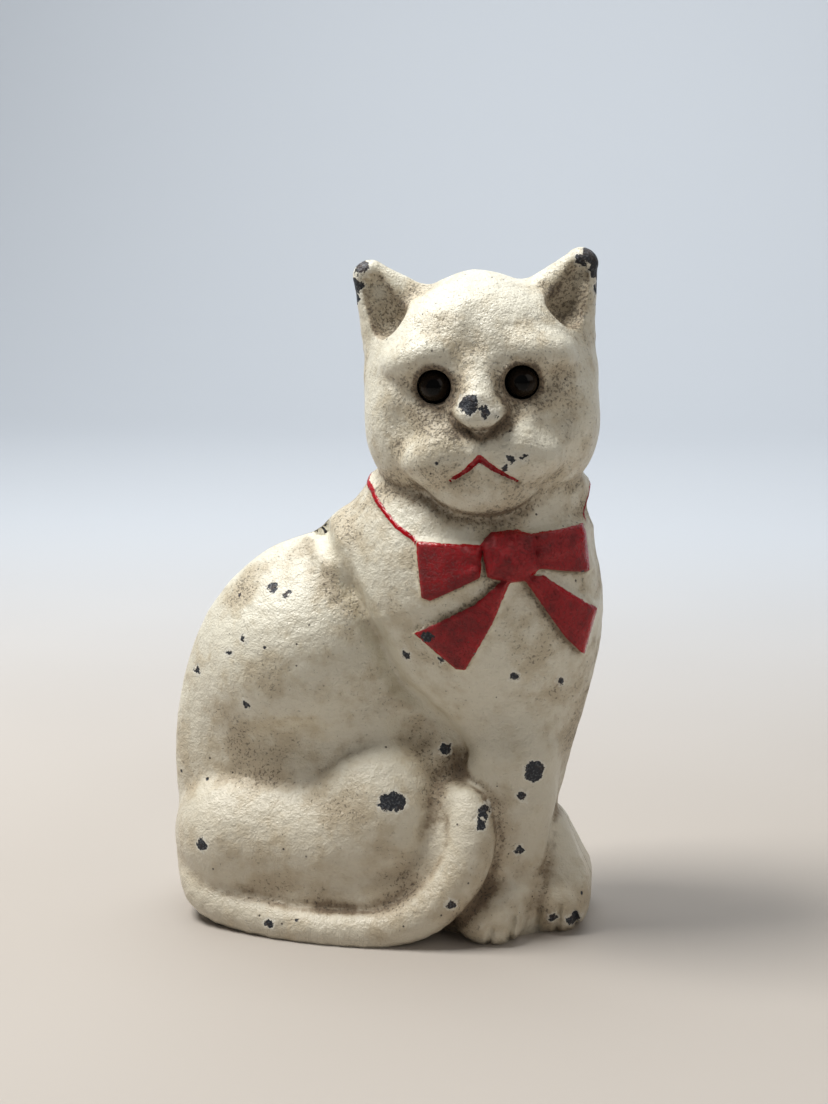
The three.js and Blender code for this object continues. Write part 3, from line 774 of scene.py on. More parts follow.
# %% Front half: eye sockets
EYE_R, EYE_BACK, BED_THICK = 2.75, -13.1, 0.8
SOCKET_BOTTOM, SOCKET_TOP = EYE_BACK + BED_THICK + 2 * GAP, -30


def head_matrix():
    cr, sr = math.cos(math.radians(HEAD_ROLL)), math.sin(math.radians(HEAD_ROLL))
    cw, sw = math.cos(math.radians(HEAD_YAW)), math.sin(math.radians(HEAD_YAW))
    return np.array([[cr * cw, -sw, -sr * cw], [cr * sw, cw, -sr * sw], [sr, 0, cr]])


def in_face(name, profile, x, sides=48, smooth=False):
    """A turned shape set into the leaning face, x to the side of the nose line."""
    points, faces = turned_shape(profile, sides)
    points = (points + np.array([x, 0, EYE_Z])) @ head_matrix().T + np.array(HEAD_CENTRE)
    return face_out(make_object(name, points, faces, smooth))


for x in (-EYE_X, EYE_X):
    r = EYE_R + GAP
    socket = in_face("socket", [(0, SOCKET_TOP), (r, SOCKET_TOP), (r, SOCKET_BOTTOM),
                                (0, SOCKET_BOTTOM)], x)
    front = combine(front, socket, "DIFFERENCE")
print("front casting:", len(front.data.polygons), "faces")

# %% [markdown]
# The back half takes the coins through a slot across the shoulders. A collar stiffens it where
# the screw goes through, and a recess lets the screw's head sink into the wall.

# %% Back half: coin slot, collar, clearance hole and recess
SCREW_HEAD_R, COLLAR_FACE = 4.6, 6.0
SLOT_X, SLOT_Z, SLOT_LENGTH, SLOT_WIDTH, SLOT_FROM = 16.5, 64.0, 33.0, 4.6, 8
back = combine(copy_of(skin, "back_casting_half"),
               block((-SAW_X, HALF_GAP, 0), (SAW_X, SAW_Y, SAW_Z), SAW_CUTS), "INTERSECT")
back = combine(back, core_solid, "DIFFERENCE")
back = combine(back, bar(BOSS_R, COLLAR_FACE, SCREW_SEAT + 0.5, SCREW_X, SCREW_Z), "UNION")
back = combine(back, bar(SCREW_R + 2 * GAP, -4, 30, SCREW_X, SCREW_Z), "DIFFERENCE")
back = combine(back, bar(SCREW_HEAD_R + 2 * GAP, SCREW_SEAT, SAW_Y, SCREW_X, SCREW_Z), "DIFFERENCE")
coin_cutter = block((SLOT_X - SLOT_LENGTH / 2, SLOT_FROM, SLOT_Z - SLOT_WIDTH / 2),
                    (SLOT_X + SLOT_LENGTH / 2, SAW_Y, SLOT_Z + SLOT_WIDTH / 2))
back = combine(back, coin_cutter, "DIFFERENCE")
bpy.data.objects.remove(skin)
print("back casting:", len(back.data.polygons), "faces")

# %% [markdown]
# ## Marks carried by the castings
# Paint, chips, grime and painted shade follow the casting, so each vertex is told a few facts
# about its place: how far it is from the edge of the red, how far from the nearest chip, how deep
# under the skin, how sheltered it is and how high. The materials turn those numbers into colour;
# shelter gives grime and painted shade, and height gives painted shade towards the bottom. A
# painted texture would need an unwrapped surface; these need nothing but the field that made the shape.

# %% Chips
# x, y, z and radius
CHIPS = [
    (19.2, -23.4, 100.5, 1.55), (22.1, -24.6, 99.1, 0.75), (23.6, -24.2, 98.2, 0.35),
    (26.5, -23.1, 90.9, 0.55), (28.6, -22.9, 91.3, 0.45), (25.4, -21.9, 89.2, 0.4),
    (-18.6, -9.3, 64.7, 0.75), (-15.6, -11.1, 64.0, 0.55), (-23.5, -12.8, 55.4, 0.4),
    (-26.4, -11.8, 52.6, 0.4), (-34.2, -5.6, 47.6, 0.5), (-22.9, -13.8, 43.4, 0.45),
    (11.6, -18.1, 58.5, 0.95), (7.3, -15.4, 54.1, 0.55), (14.1, -17.4, 53.8, 0.4),
    (27.2, -15.8, 50.8, 0.55), (35.3, -11.1, 49.0, 0.45), (28.6, -13.6, 27.6, 0.7),
    (28.3, -12.6, 16.8, 0.6), (21.9, -17.6, 25.4, 0.95), (21.4, -18.6, 23.3, 0.7),
    (16.3, -21.4, 9.0, 0.75), (13.9, -7.8, 34.3, 0.9), (-31.4, -16.0, 16.4, 0.8),
    (-18.0, -20.4, 3.2, 0.6), (38.4, -10.2, 3.0, 1.15), (34.5, -11.9, 3.9, 0.7),
    (30.9, -13.4, 32.4, 1.7), (4.2, -18.2, 26.8, 1.25), (6.2, -18.2, 26.6, 1.25),
    (5.2, -18.2, 27.4, 1.1), (-1.9, -4.1, 123.4, 1.3), (-3.0, -4.6, 120.3, 1.1),
    (-3.3, -3.6, 117.8, 0.8), (39.4, -3.3, 125.9, 1.7), (41.0, -1.9, 123.0, 1.8),
    (41.4, -2.4, 119.8, 1.3), (37.6, -4.0, 124.9, 0.9), (41.2, -3.0, 117.0, 0.7),
    (-20.0, 13.0, 60.0, 1.1), (2.0, 17.5, 52.0, 0.8), (30.0, 15.5, 88.0, 0.9),
    (-26.0, 14.5, 30.0, 1.4), (8.0, 17.5, 22.0, 1.0), (33.0, 6.5, 4.0, 1.3),
    (-33.0, 8.0, 6.0, 1.2), (24.0, 14.8, 108.0, 0.8), (12.0, 14.5, 115.0, 0.6),
    (-1.5, 3.5, 122.5, 1.0), (40.5, 2.5, 123.5, 1.1), (-28.0, 12.0, 48.0, 0.6)]
DEPTH_COUNTS = 0.3                      # a chip is measured mostly as seen from the front
print(len(CHIPS), "chips")

# %% [markdown]
# Shelter is measured by stepping out from the surface: over a hollow the field grows more slowly
# than the step, because the other side of the hollow comes near. In the eye rims, the ear bowls
# and round the nose more is added. The materials darken sheltered places as grime and painted
# shade; on the lower facet of the nose the darkening is painted shade.

# %% Facts for every vertex
SHELTER_STEPS = (1.2, 3.0, 6.0)
SHARP_EDGE = math.radians(42)


def tell(made, name, values):
    fact = made.data.attributes.new(name, "FLOAT", "POINT")
    fact.data.foreach_set("value", np.asarray(values, np.float32))


def face_dirt_and_shade(p):
    """Extra shelter on the front of the head, darkened later as dirt and painted shade."""
    h = head_frame(p)
    side = np.abs(h[0])
    rim = np.abs(np.hypot(side - EYE_X, h[2] - EYE_Z) - EYE_R - 0.5)
    dirt_and_shade = np.where(h[1] < -6, 0.42 * ramp(rim, 0.9, 0.0), 0)
    bowl = limb((side, h[1], h[2]), (15.9, -5.2, 13.2), 3.0, (18.2, -4.2, 18.0), 1.6)
    dirt_and_shade += np.where(h[1] < -0.5, 0.20 * ramp(bowl, 1.8, -1.6), 0)
    beside_nose = from_line(side, h[2], [(0.1, -8.6), (4.8, -4.4), (4.6, -1.5)])
    dirt_and_shade += np.where(h[1] < -8, 0.30 * ramp(beside_nose, 1.1, 0.0), 0)
    # the lower facet of the nose is darkened as painted shade
    nose_front = inside_outline(h[0], h[2], [(-3.9, -5.0), (0.1, -8.2), (4.0, -5.3)])
    return dirt_and_shade + np.where(h[1] < -8, 0.22 * ramp(nose_front, 0.5, -0.5), 0)


def mark(made):
    """Tells each vertex what the paint has to know about its place."""
    count = len(made.data.vertices)
    place = np.empty(count * 3, np.float32)
    made.data.vertices.foreach_get("co", place)
    p = tuple(to_pattern(place.reshape(-1, 3).astype(np.float64)))
    skin_depth, rise = slope_of(cat, p)
    out = rise / np.maximum(np.sqrt((rise**2).sum(0)), 1e-6)
    tell(made, "red_off", np.clip(red_edge(p), -3, 3))
    tell(made, "depth", np.clip(-finished_cat(p), -1, 4))
    near = np.full(count, 6.0)
    for x, y, z, r in CHIPS:
        off = np.sqrt((p[0] - x)**2 + (DEPTH_COUNTS * (p[1] - y))**2 + (p[2] - z)**2)
        near = np.minimum(near, off - r)
    tell(made, "chip_off", np.clip(near, -2, 3))
    # shelter darkens hollows in the materials: partly grime, partly painted shade
    sheltered = np.zeros(count)
    for reach in SHELTER_STEPS:
        lifted = tuple(p[i] + out[i] * reach for i in range(3))
        sheltered += np.clip(1 - (finished_cat(lifted) - skin_depth) / reach, -0.3, 1)
    sheltered = sheltered / len(SHELTER_STEPS) + face_dirt_and_shade(p)
    tell(made, "sheltered", sheltered)
    tell(made, "height", p[2])
    made.data.set_sharp_from_angle(angle=SHARP_EDGE)


for casting in (front, back):
    mark(casting)
    print(casting.name, [a.name for a in casting.data.attributes if not a.is_internal])

# %% [markdown]
# ## The glass eyes
# A glass eye for a casting is a shallow button: a flat back, a short side and a polished dome,
# with the iris painted on the back. It is turned from a profile, so it shades as smooth glass,
# and each vertex knows its distance from the middle for the pupil and iris.

# %% Eyes
EYE_SIDE, EYE_DOME, EYE_BEVEL = 1.1, 2.3, 0.15
EYE_SIDES, DOME_STEPS = 64, 14
EYES = {"eye_left": -EYE_X, "eye_right": EYE_X}
glass_eyes = []
rim = EYE_BACK - EYE_SIDE
ball = (EYE_R**2 + EYE_DOME**2) / (2 * EYE_DOME)
eye_profile = [(0.0, rim - EYE_DOME)]
for step in range(1, DOME_STEPS + 1):
    angle = math.asin(EYE_R / ball) * step / DOME_STEPS
    eye_profile.append((ball * math.sin(angle), rim - EYE_DOME + ball * (1 - math.cos(angle))))
eye_profile += [(EYE_R, rim + 0.5), (EYE_R, EYE_BACK - EYE_BEVEL), (EYE_R - EYE_BEVEL, EYE_BACK),
                (EYE_R * 0.5, EYE_BACK), (0, EYE_BACK)]
for node, x in EYES.items():
    eye = in_face("glass_" + node, eye_profile, x, sides=EYE_SIDES, smooth=True)
    pattern = turned_shape(eye_profile, EYE_SIDES)[0]
    tell(eye, "from_middle", np.hypot(pattern[:, 0], pattern[:, 2]))
    eye.data.set_sharp_from_angle(angle=math.radians(50))
    glass_eyes.append((eye, node))
print("eye faces:", len(eye.data.polygons))

# %% [markdown]
# ## The assembly screw
# One slotted cheese-head screw goes through the back half into the front half's boss. The shank
# and head are a turned profile; the driver slot is milled across the head.

# %% Screw blank
HEAD_TALL, SLOT_MILL, SLOT_DEEP = 2.5, 1.1, 1.2
SEAT, TOP = SCREW_SEAT + GAP, SCREW_SEAT + GAP + HEAD_TALL
CORE_R = 1.85
screw_profile = [
    (0, SCREW_TIP), (CORE_R - 0.5, SCREW_TIP), (CORE_R, SCREW_TIP + 0.6), (CORE_R, 6.8),
    (SCREW_R, 7.6), (SCREW_R, SEAT), (SCREW_HEAD_R - 0.2, SEAT), (SCREW_HEAD_R, SEAT + 0.2),
    (SCREW_HEAD_R, TOP - 0.7), (SCREW_HEAD_R - 0.25, TOP - 0.3), (SCREW_HEAD_R - 0.8, TOP), (0, TOP)]
screw = turned_object("slotted_screw", screw_profile, SCREW_X, SCREW_Z, sides=72)
MILL_REACH = 6                          # past the head on both sides
mill = block((SCREW_X - MILL_REACH, TOP - SLOT_DEEP, SCREW_Z - SLOT_MILL / 2),
             (SCREW_X + MILL_REACH, TOP + 1, SCREW_Z + SLOT_MILL / 2))
screw = combine(screw, mill, "DIFFERENCE")
screw.data.shade_smooth()
screw.data.set_sharp_from_angle(angle=math.radians(35))
print("screw blank:", len(screw.data.polygons), "faces")

# %% [markdown]
# ## The thread, in Geometry Nodes
# A thread is one profile swept along a helix, the same rule at every turn, so nodes make it: a
# spiral curve gives the path, a triangle gives the profile, and the inputs are the sizes a
# machinist would name. The result is turned into a plain mesh.

# %% Thread tree
def build(tree, kind, settings=None, sockets=None):
    """One node: its settings first, then the values or links of its sockets."""
    made = tree.nodes.new(kind)
    for name, value in (settings or {}).items():
        setattr(made, name, value)
    for name, value in (sockets or {}).items():
        if isinstance(value, bpy.types.NodeSocket):
            tree.links.new(value, made.inputs[name])
        else:
            made.inputs[name].default_value = value
    return made


def thread_tree():
    tree = bpy.data.node_groups.new("screw_thread", "GeometryNodeTree")
    tree.interface.new_socket("Geometry", in_out="OUTPUT", socket_type="NodeSocketGeometry")
    for name, kind, value in [
            ("Turns", "NodeSocketFloat", 20.0), ("Radius", "NodeSocketFloat", 0.002),
            ("Length", "NodeSocketFloat", 0.017), ("Ridge", "NodeSocketFloat", 0.0005),
            ("Metal", "NodeSocketMaterial", None)]:
        made = tree.interface.new_socket(name, in_out="INPUT", socket_type=kind)
        if value is not None:
            made.default_value = value
    sizes = tree.nodes.new("NodeGroupInput").outputs
    helix = build(tree, "GeometryNodeCurveSpiral", None, {
        "Resolution": 20, "Rotations": sizes["Turns"], "Start Radius": sizes["Radius"],
        "End Radius": sizes["Radius"], "Height": sizes["Length"]})
    ridge = build(tree, "GeometryNodeCurvePrimitiveCircle", {"mode": "RADIUS"}, {
        "Resolution": 4, "Radius": sizes["Ridge"]})
    sweep = build(tree, "GeometryNodeCurveToMesh", None, {
        "Curve": helix.outputs[0], "Profile Curve": ridge.outputs[0], "Fill Caps": True})
    single = build(tree, "GeometryNodeRealizeInstances", None, {"Geometry": sweep.outputs[0]})
    coat = build(tree, "GeometryNodeSetMaterial", None, {
        "Geometry": single.outputs[0], "Material": sizes["Metal"]})
    end = tree.nodes.new("NodeGroupOutput")
    tree.links.new(coat.outputs[0], end.inputs[0])
    return tree


screw_thread_tree = thread_tree()
print("thread tree:", [node.name for node in screw_thread_tree.nodes])

# %% [markdown]
# A tree runs as a modifier on an empty mesh. Its inputs are set by the sockets' own identifiers,
# since two sockets may share a name, and the result is kept as a mesh without the modifier.

# %% From a tree to a plain mesh
def run_tree(name, tree, settings):
    """A plain mesh from a tree, its inputs set by their identifiers."""
    host = bpy.data.objects.new(name, bpy.data.meshes.new(name))
    bpy.context.scene.collection.objects.link(host)
    step = host.modifiers.new("tree", "NODES")
    step.node_group = tree
    for item in tree.interface.items_tree:
        if item.in_out == "INPUT" and item.name in settings:
            step[item.identifier] = settings[item.name]
    graph = bpy.context.evaluated_depsgraph_get()
    result = bpy.data.meshes.new_from_object(host.evaluated_get(graph))
    host.modifiers.clear()
    host.data = result
    return host


print("inputs:", [i.name for i in screw_thread_tree.interface.items_tree if i.in_out == "INPUT"])

# %% [markdown]
# ## Writing materials as sums
# Paint is built up in layers, and each layer is a mask and a colour. Small helpers let the masks
# be written as ordinary arithmetic while Blender gets its Math nodes.

# %% Sockets that can be added and multiplied
class Wire:
    """A socket of a material's node tree that takes part in arithmetic."""

    def __init__(self, finish, socket):
        self.finish, self.socket = finish, socket

    def math(self, operation, *values, clamp=False):
        slots = {i: v for i, v in enumerate(values)}
        return self.finish.node("ShaderNodeMath", {"operation": operation, "use_clamp": clamp}, slots)

    def __add__(self, other):
        return self.math("ADD", self, other)

    def __sub__(self, other):
        return self.math("SUBTRACT", self, other)

    def __rsub__(self, other):
        return self.math("SUBTRACT", other, self)

    def __mul__(self, other):
        return self.math("MULTIPLY", self, other)

    __radd__, __rmul__ = __add__, __mul__

    def clamp(self):
        return self.math("ADD", self, 0.0, clamp=True)

    def either(self, other):
        return self.math("MAXIMUM", self, other)

    def rises(self, low, high):
        """0 below low, 1 above high, smooth between; falls when low is above high."""
        if low > high:
            return 1 - self.rises(high, low)
        return self.finish.node("ShaderNodeMapRange", {"interpolation_type": "SMOOTHSTEP"}, {
            "Value": self, "From Min": low, "From Max": high})


class Finish:
    """A material under construction."""

    def __init__(self, name):
        self.material = bpy.data.materials.new(name)
        self.material.use_nodes = True
        self.tree = self.material.node_tree
        self.shader = self.tree.nodes["Principled BSDF"]

    def node(self, kind, settings=None, sockets=None, out=0):
        plain = {name: value.socket if isinstance(value, Wire) else value
                 for name, value in (sockets or {}).items()}
        return Wire(self, build(self.tree, kind, settings, plain).outputs[out])

    def fact(self, name):
        return self.node("ShaderNodeAttribute", {"attribute_name": name}, out="Fac")

    def place(self):
        """Object coordinates in millimetres."""
        spot = self.node("ShaderNodeTexCoord", out="Object")
        return self.node("ShaderNodeVectorMath", {"operation": "SCALE"}, {0: spot, "Scale": 1 / MM})

    def noise(self, spot, size, detail=2.0, rough=0.5, shift=0.0):
        moved = self.node("ShaderNodeVectorMath", {"operation": "ADD"}, {0: spot, 1: (shift,) * 3})
        return self.node("ShaderNodeTexNoise", None, {
            "Vector": moved, "Scale": 1.0 / size, "Detail": detail, "Roughness": rough})

    def cells(self, spot, size, out="Distance", shift=0.0):
        moved = self.node("ShaderNodeVectorMath", {"operation": "ADD"}, {0: spot, 1: (shift,) * 3})
        return self.node("ShaderNodeTexVoronoi", None, {
            "Vector": moved, "Scale": 1.0 / size}, out=out)

    def blend(self, mask, under, over):
        return self.node("ShaderNodeMix", {"data_type": "RGBA"}, {
            "Factor": mask, 6: under, 7: over}, out=2)

    def bump(self, height_mm):
        return self.node("ShaderNodeBump", None, {
            "Height": height_mm, "Distance": MM, "Strength": 1.0})

    def set(self, **sockets):
        for name, value in sockets.items():
            slot = self.shader.inputs[name.replace("_", " ")]
            if isinstance(value, Wire):
                self.tree.links.new(value.socket, slot)
            else:
                slot.default_value = value
        return self.material


trial = Finish("trial")
print("1 - noise * 0.5 gives a socket named", (1 - trial.noise(trial.place(), 1.0) * 0.5).socket.name)
bpy.data.materials.remove(trial.material)

# %% [markdown]
# ## Old enamel on iron
# From the metal outwards: black iron with a little brown rust, cream enamel that yellowed
# unevenly, brushed red on the bow, then brown grime and painted shade in every hollow, a brown
# wash towards the bottom that is painted shade, and tiny dark pits where the enamel shrank from
# the sand grain. Where it chipped, the iron is blue-black and the broken edge of the enamel is pale.

# %% Painted iron
CREAM, YELLOWED = (0.80, 0.765, 0.64, 1), (0.60, 0.52, 0.365, 1)
DIRT_WASH_AND_SHADE = (0.47, 0.375, 0.26, 1)
GRIME_AND_SHADE, PIT_DARK = (0.135, 0.085, 0.048, 1), (0.055, 0.045, 0.035, 1)
IRON, RUST = (0.024, 0.028, 0.037, 1), (0.075, 0.042, 0.026, 1)
IRON_PALE = (0.16, 0.17, 0.18, 1)
RED, RED_DARK = (0.43, 0.002, 0.008, 1), (0.17, 0.001, 0.004, 1)
FRESH_EDGE = (0.86, 0.84, 0.76, 1)


def rare_spots(f, spot, size, radius, rarity, fine):
    """Round spots in a few of the cells of a scattered grid, with uneven edges."""
    off = f.cells(spot, size, shift=size) + (fine - 0.5) * 0.12
    chance = f.node("ShaderNodeSeparateColor", None, {
        "Color": f.cells(spot, size, "Color", shift=size)}, out="Red")
    return off.rises(radius, radius * 0.7) * chance.rises(rarity, rarity + 0.03)


def painted_iron(name):
    f = Finish(name)
    spot = f.place()
    broad, middle = f.noise(spot, 13.0, 3.0), f.noise(spot, 3.4, 4.0, 0.6, 7.0)
    fine, grain = f.noise(spot, 1.0, 3.0, 0.6, 3.0), f.noise(spot, 0.42, 2.0, 0.6, 11.0)
    sheltered, height = f.fact("sheltered"), f.fact("height")

    # where each layer lies
    chip_edge = f.fact("chip_off") + (fine - 0.5) * 2.2 + (middle - 0.5) * 0.9
    chip = chip_edge.rises(0.26, 0.12).either(rare_spots(f, spot, 6.5, 0.075, 0.80, fine))
    bare = chip.either(f.fact("depth").rises(0.22, 0.34))
    ring = chip_edge.rises(0.85, 0.40) * (1 - chip)
    red = (f.fact("red_off") + (fine - 0.5) * 0.5).rises(0.06, -0.06)
    # darker towards the bottom: painted shade
    low = (height + (middle - 0.5) * 16).rises(60.0, 2.0)
    on_head = height.rises(76.0, 92.0)
    # where pits crowd and a brown wash lies, from random tone and from shelter; the shelter part is
    # painted shade in hollows
    crowd_and_shade = (sheltered * 2.4 + (broad - 0.5) * 2.2 + (middle - 0.5) * 0.8).rises(-0.05, 0.95)
    # brown in sheltered hollows, partly real grime and partly painted shade, with a little painted
    # shade towards the bottom
    grime_and_shade = (sheltered * 2.3 - 0.34 + (middle - 0.5) * 1.4 + (fine - 0.5) * 0.9
             + low * 0.12).rises(0.05, 0.95)
    freckle = (f.noise(spot, 0.5, 3.0, 0.65, 31.0) + crowd_and_shade * 0.10 + (broad - 0.5) * 0.16
               + on_head * 0.030 - low * 0.03).rises(0.64, 0.71)
    speck = rare_spots(f, spot, 2.3, 0.10, 0.78, fine)

    # cream, then a wash of dirt and painted shade, grime and painted shade, freckles and the pale
    # broken edge
    # the yellowing is a little stronger in sheltered hollows, which is painted shade
    yellowing = (broad * 0.5 + middle * 0.5 + crowd_and_shade * 0.12).rises(0.43, 0.66)
    enamel = f.blend(yellowing * 0.7, CREAM, YELLOWED)
    # a brown wash: dirt in random patches, painted shade in hollows and towards the bottom
    enamel = f.blend((crowd_and_shade * 0.46 + low * 0.36).clamp(), enamel, DIRT_WASH_AND_SHADE)
    enamel = f.blend(grime_and_shade * 0.74, enamel, GRIME_AND_SHADE)
    enamel = f.blend(freckle * (0.36 + crowd_and_shade * 0.24), enamel, PIT_DARK)
    enamel = f.blend(speck * 0.9, enamel, PIT_DARK)
    enamel = f.blend(ring * 0.55, enamel, FRESH_EDGE)
    # the red darkens at random and in sheltered hollows; the hollow part is painted shade
    darkened = (broad * 0.3 + middle * 0.7).rises(0.42, 0.66) * 0.5 + grime_and_shade * 0.4
    brushed = f.blend(darkened, RED, RED_DARK)
    brushed = f.blend(freckle * 0.14 + speck * 0.6, brushed, PIT_DARK)
    enamel = f.blend(red, enamel, brushed)
    metal = f.blend((middle * 0.5 + fine * 0.5).rises(0.47, 0.62) * 0.5, IRON, RUST)
    metal = f.blend(grain.rises(0.50, 0.66) * 0.55, metal, IRON_PALE)

    # height in millimetres
    swell = f.noise(spot, 2.0, 1.0, 0.5, 21.0)
    relief = (grain - 0.5) * 0.20 + (fine - 0.5) * 0.24 + (swell - 0.5) * 0.26
    relief = (relief * (1 - red * 0.45) - freckle * 0.10 - speck * 0.1 - bare * 0.14
              + red * 0.05 - grime_and_shade * 0.05)
    return f.set(
        Base_Color=f.blend(bare, enamel, metal),
        Roughness=(0.35 + (fine - 0.5) * 0.3 + grime_and_shade * 0.30 + bare * 0.12 - red * 0.24
                   + crowd_and_shade * 0.14).clamp(),
        Metallic=bare * 0.35,
        Normal=f.bump(relief))


for casting, name in [(front, "cream_enamel_front"), (back, "cream_enamel_back")]:
    casting.data.materials.clear()
    casting.data.materials.append(painted_iron(name))
print("painted iron nodes:", len(casting.data.materials[0].node_tree.nodes))

# %% [markdown]
# ## Glass, putty and steel
# The eyes are nearly black, with a slightly paler iris that shows only in strong light. The
# putty is dull and crumbly. The screw is bare steel with rust in patches. Each is a short
# material of its own, since nothing in them depends on the cat's shape.

# %% Glass, putty and steel
PUPIL, IRIS, IRIS_RIM = (0.003, 0.003, 0.003, 1), (0.014, 0.009, 0.006, 1), (0.026, 0.019, 0.013, 1)
PUTTY, PUTTY_DIRT = (0.40, 0.35, 0.27, 1), (0.16, 0.13, 0.10, 1)
STEEL, STEEL_RUST = (0.19, 0.185, 0.18, 1), (0.10, 0.050, 0.028, 1)


def eye_glass():
    f = Finish("eye_glass")
    out = f.fact("from_middle")
    streaks = f.noise(f.place(), 0.5, 2.0, 0.6)
    iris = f.blend((out + (streaks - 0.5) * 0.7).rises(1.5, 2.6), IRIS, IRIS_RIM)
    return f.set(Base_Color=f.blend(out.rises(1.5, 1.2), iris, PUPIL),
                 Roughness=0.07, Specular_IOR_Level=0.14)


def putty():
    f = Finish("eye_putty")
    crumbs = f.noise(f.place(), 0.6, 3.0, 0.6)
    tone = f.blend(crumbs.rises(0.35, 0.7), PUTTY, PUTTY_DIRT)
    return f.set(Base_Color=tone, Roughness=0.85, Normal=f.bump(crumbs * 0.15))


def dark_steel():
    f = Finish("screw_steel")
    spot = f.place()
    blotch, scratch = f.noise(spot, 1.6, 3.0, 0.6), f.noise(spot, 0.25, 2.0)
    rust = blotch.rises(0.52, 0.66)
    return f.set(Base_Color=f.blend(rust, STEEL, STEEL_RUST),
                 Roughness=(0.34 + rust * 0.42 + (scratch - 0.5) * 0.2).clamp(),
                 Metallic=1 - rust * 0.7, Normal=f.bump((blotch - 0.5) * 0.04 + scratch * 0.015))


steel, glass, bed = dark_steel(), eye_glass(), putty()
screw.data.materials.clear()
screw.data.materials.append(steel)
for eye, node in glass_eyes:
    eye.data.materials.append(glass)
for node in ("eye_bed_left", "eye_bed_right"):
    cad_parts[node].data.materials.clear()
    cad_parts[node].data.materials.append(bed)
print("finishes:", steel.name, glass.name, bed.name)

# %% [markdown]
# The thread can be made now that its steel exists. The tree winds it upwards from its start, so
# it is laid over to run along the screw, from the shank towards the tip.

# %% The thread on its screw
THREAD_TURNS, THREAD_LENGTH, THREAD_RIDGE, THREAD_START = 24.0, 16.8, 0.5, 6.6
thread = run_tree("screw_thread", screw_thread_tree, {
    "Turns": THREAD_TURNS, "Radius": CORE_R * MM, "Length": THREAD_LENGTH * MM,
    "Ridge": THREAD_RIDGE * MM, "Metal": steel})
start_place = Matrix.Translation(to_frame((SCREW_X, THREAD_START, SCREW_Z)))
thread.data.transform(start_place @ Matrix.Rotation(math.pi / 2, 4, "X"))
print("thread:", len(thread.data.polygons), "faces")

# %% [markdown]
# ## Handing the pieces to the frame
# Each piece rides on the body it is bolted, cemented or cast into, and stands for its measured
# node.

# %% Riding
PIECES = [
    (front, "front_casting", ["front_half"], "cream_enamel_front"),
    (back, "back_casting", ["back_half"], "cream_enamel_back"),
    (screw, "screw", ["assembly_screw"], "screw_steel"),
    (thread, "screw", [], "screw_steel")]
PIECES += [(eye, "front_casting", [node], "eye_glass") for eye, node in glass_eyes]
for piece, rides_on, stands_for, finish in PIECES:
    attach(piece, rides_on)
    if stands_for:
        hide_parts(*stands_for)
    print(piece.name, "rides on", rides_on)

# %% [markdown]
# ## Studio
# The floor is a pale sheet of paper that curves up into a backdrop, a little cooler towards the
# back, so that no horizon line shows.

# %% Floor
FLOOR_FRONT, CURVE_START, CURVE_R, WALL_TOP, FLOOR_HALF = -1.2, 0.9, 0.5, 1.8, 2.2   # metres
CURVE_STEPS = 12
PAPER, PAPER_WORN, PAPER_FAR = (0.43, 0.39, 0.35, 1), (0.47, 0.43, 0.39, 1), (0.53, 0.555, 0.59, 1)


def studio_floor():
    rows = [(FLOOR_FRONT, 0.0)]
    for step in range(CURVE_STEPS + 1):
        angle = math.pi / 2 * step / CURVE_STEPS
        rows.append((CURVE_START + CURVE_R * math.sin(angle), CURVE_R * (1 - math.cos(angle))))
    rows.append((CURVE_START + CURVE_R, WALL_TOP))
    vertices = [(x, y, z) for y, z in rows for x in (-FLOOR_HALF, FLOOR_HALF)]
    faces = [(2 * i, 2 * i + 1, 2 * i + 3, 2 * i + 2) for i in range(len(rows) - 1)]
    mesh = bpy.data.meshes.new("studio_floor")
    mesh.from_pydata(vertices, [], faces)
    mesh.shade_smooth()
    made = bpy.data.objects.new("studio_floor", mesh)
    bpy.context.scene.collection.objects.link(made)
    f = Finish("studio_paper")
    spot = f.place()
    paper = f.noise(spot, 220.0, 2.0).rises(0.3, 0.7)
    far = f.node("ShaderNodeSeparateXYZ", None, {"Vector": spot}, out="Y").rises(0.0, 500.0)
    tone = f.blend(far, f.blend(paper, PAPER, PAPER_WORN), PAPER_FAR)
    mesh.materials.append(f.set(Base_Color=tone, Roughness=0.75))
    return made


paper_floor = studio_floor()
paper_floor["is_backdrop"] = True
print("floor:", len(paper_floor.data.polygons), "faces")

# %% [markdown]
# Three soft lights: a window high on the left, which models the shapes; the room, a weak warm
# fill from the right; and one behind the cat that lights only the backdrop. A dim bluish world
# keeps the shadows from going black.

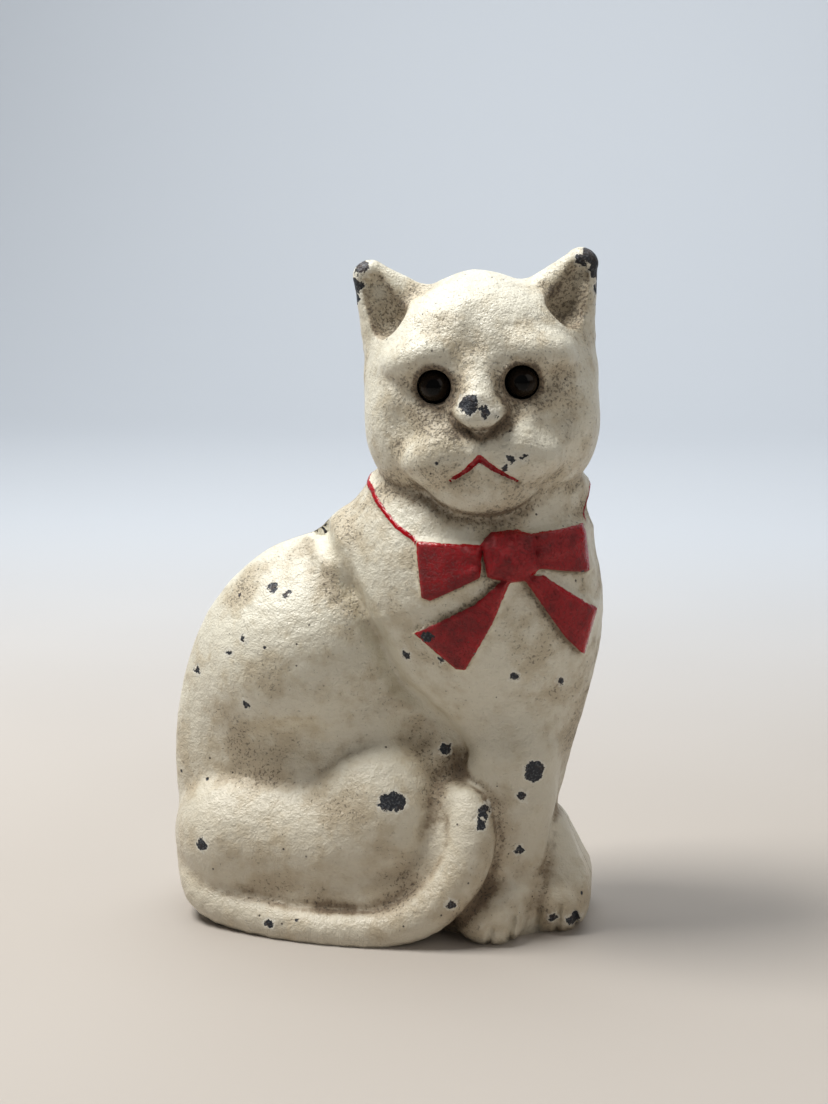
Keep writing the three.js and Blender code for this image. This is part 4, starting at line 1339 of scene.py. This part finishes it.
# %% Lights
def soft_light(name, place, size, power, colour, aim=(0.0, 0.0, 0.065)):
    lamp = bpy.data.lights.new(name, "AREA")
    lamp.size, lamp.energy, lamp.color = size, power, colour
    made = bpy.data.objects.new(name, lamp)
    made.location = place
    made.rotation_mode = "QUATERNION"
    made.rotation_quaternion = (Vector(aim) - Vector(place)).to_track_quat("-Z", "Y")
    bpy.context.scene.collection.objects.link(made)


soft_light("window", (-0.30, -0.05, 0.66), 0.24, 5.5, (1.0, 0.985, 0.95))
soft_light("room", (0.50, -0.20, 0.40), 0.5, 0.7, (1.0, 0.93, 0.84))
soft_light("backdrop", (0.0, 0.55, 1.3), 1.2, 20.0, (0.95, 0.98, 1.0), aim=(0.0, 1.4, 0.5))
world = bpy.data.worlds.new("room_light")
bpy.context.scene.world = world
world.use_nodes = True
background = world.node_tree.nodes["Background"]
background.inputs["Color"].default_value = (0.70, 0.74, 0.80, 1)
background.inputs["Strength"].default_value = 0.12
print("lights:", [lamp.name for lamp in bpy.data.lights])

# %% [markdown]
# The camera stands in front of the cat, a little to the right of its middle and as high as its
# ear tips. It looks gently down and to the left.

# %% Camera
SENSOR, LENS = 36.0, 54.13              # mm
CAMERA_PLACE = (44.56, -307.0, 124.92)  # in the pattern's millimetres
LOOK_AZIMUTH, LOOK_DOWN = math.radians(7), math.radians(10)
view = Vector((-math.sin(LOOK_AZIMUTH) * math.cos(LOOK_DOWN),
               math.cos(LOOK_AZIMUTH) * math.cos(LOOK_DOWN), -math.sin(LOOK_DOWN)))
lens = bpy.data.cameras.new("camera")
lens.sensor_width = SENSOR
lens.lens = LENS
lens.clip_start = 0.01
camera = bpy.data.objects.new("camera", lens)
camera.location = to_frame(CAMERA_PLACE)
camera.rotation_mode = "QUATERNION"
camera.rotation_quaternion = view.to_track_quat("-Z", "Y")
bpy.context.scene.collection.objects.link(camera)
bpy.context.scene.camera = camera
bpy.context.scene.view_settings.view_transform = "Standard"
print("camera at", [round(v, 4) for v in camera.location])

# %% [markdown]
# ## Last sizes
# The size of what will be shown is measured and printed, and set beside the size of the measured frame.

# %% Sizes and finish
shown_box = [list(corner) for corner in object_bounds()]
({"cad_box": [[float(v) for v in c] for c in cad_box],
           "visual_box": [[float(v) for v in c] for c in shown_box]})
print("shown box, m:", shown_box)
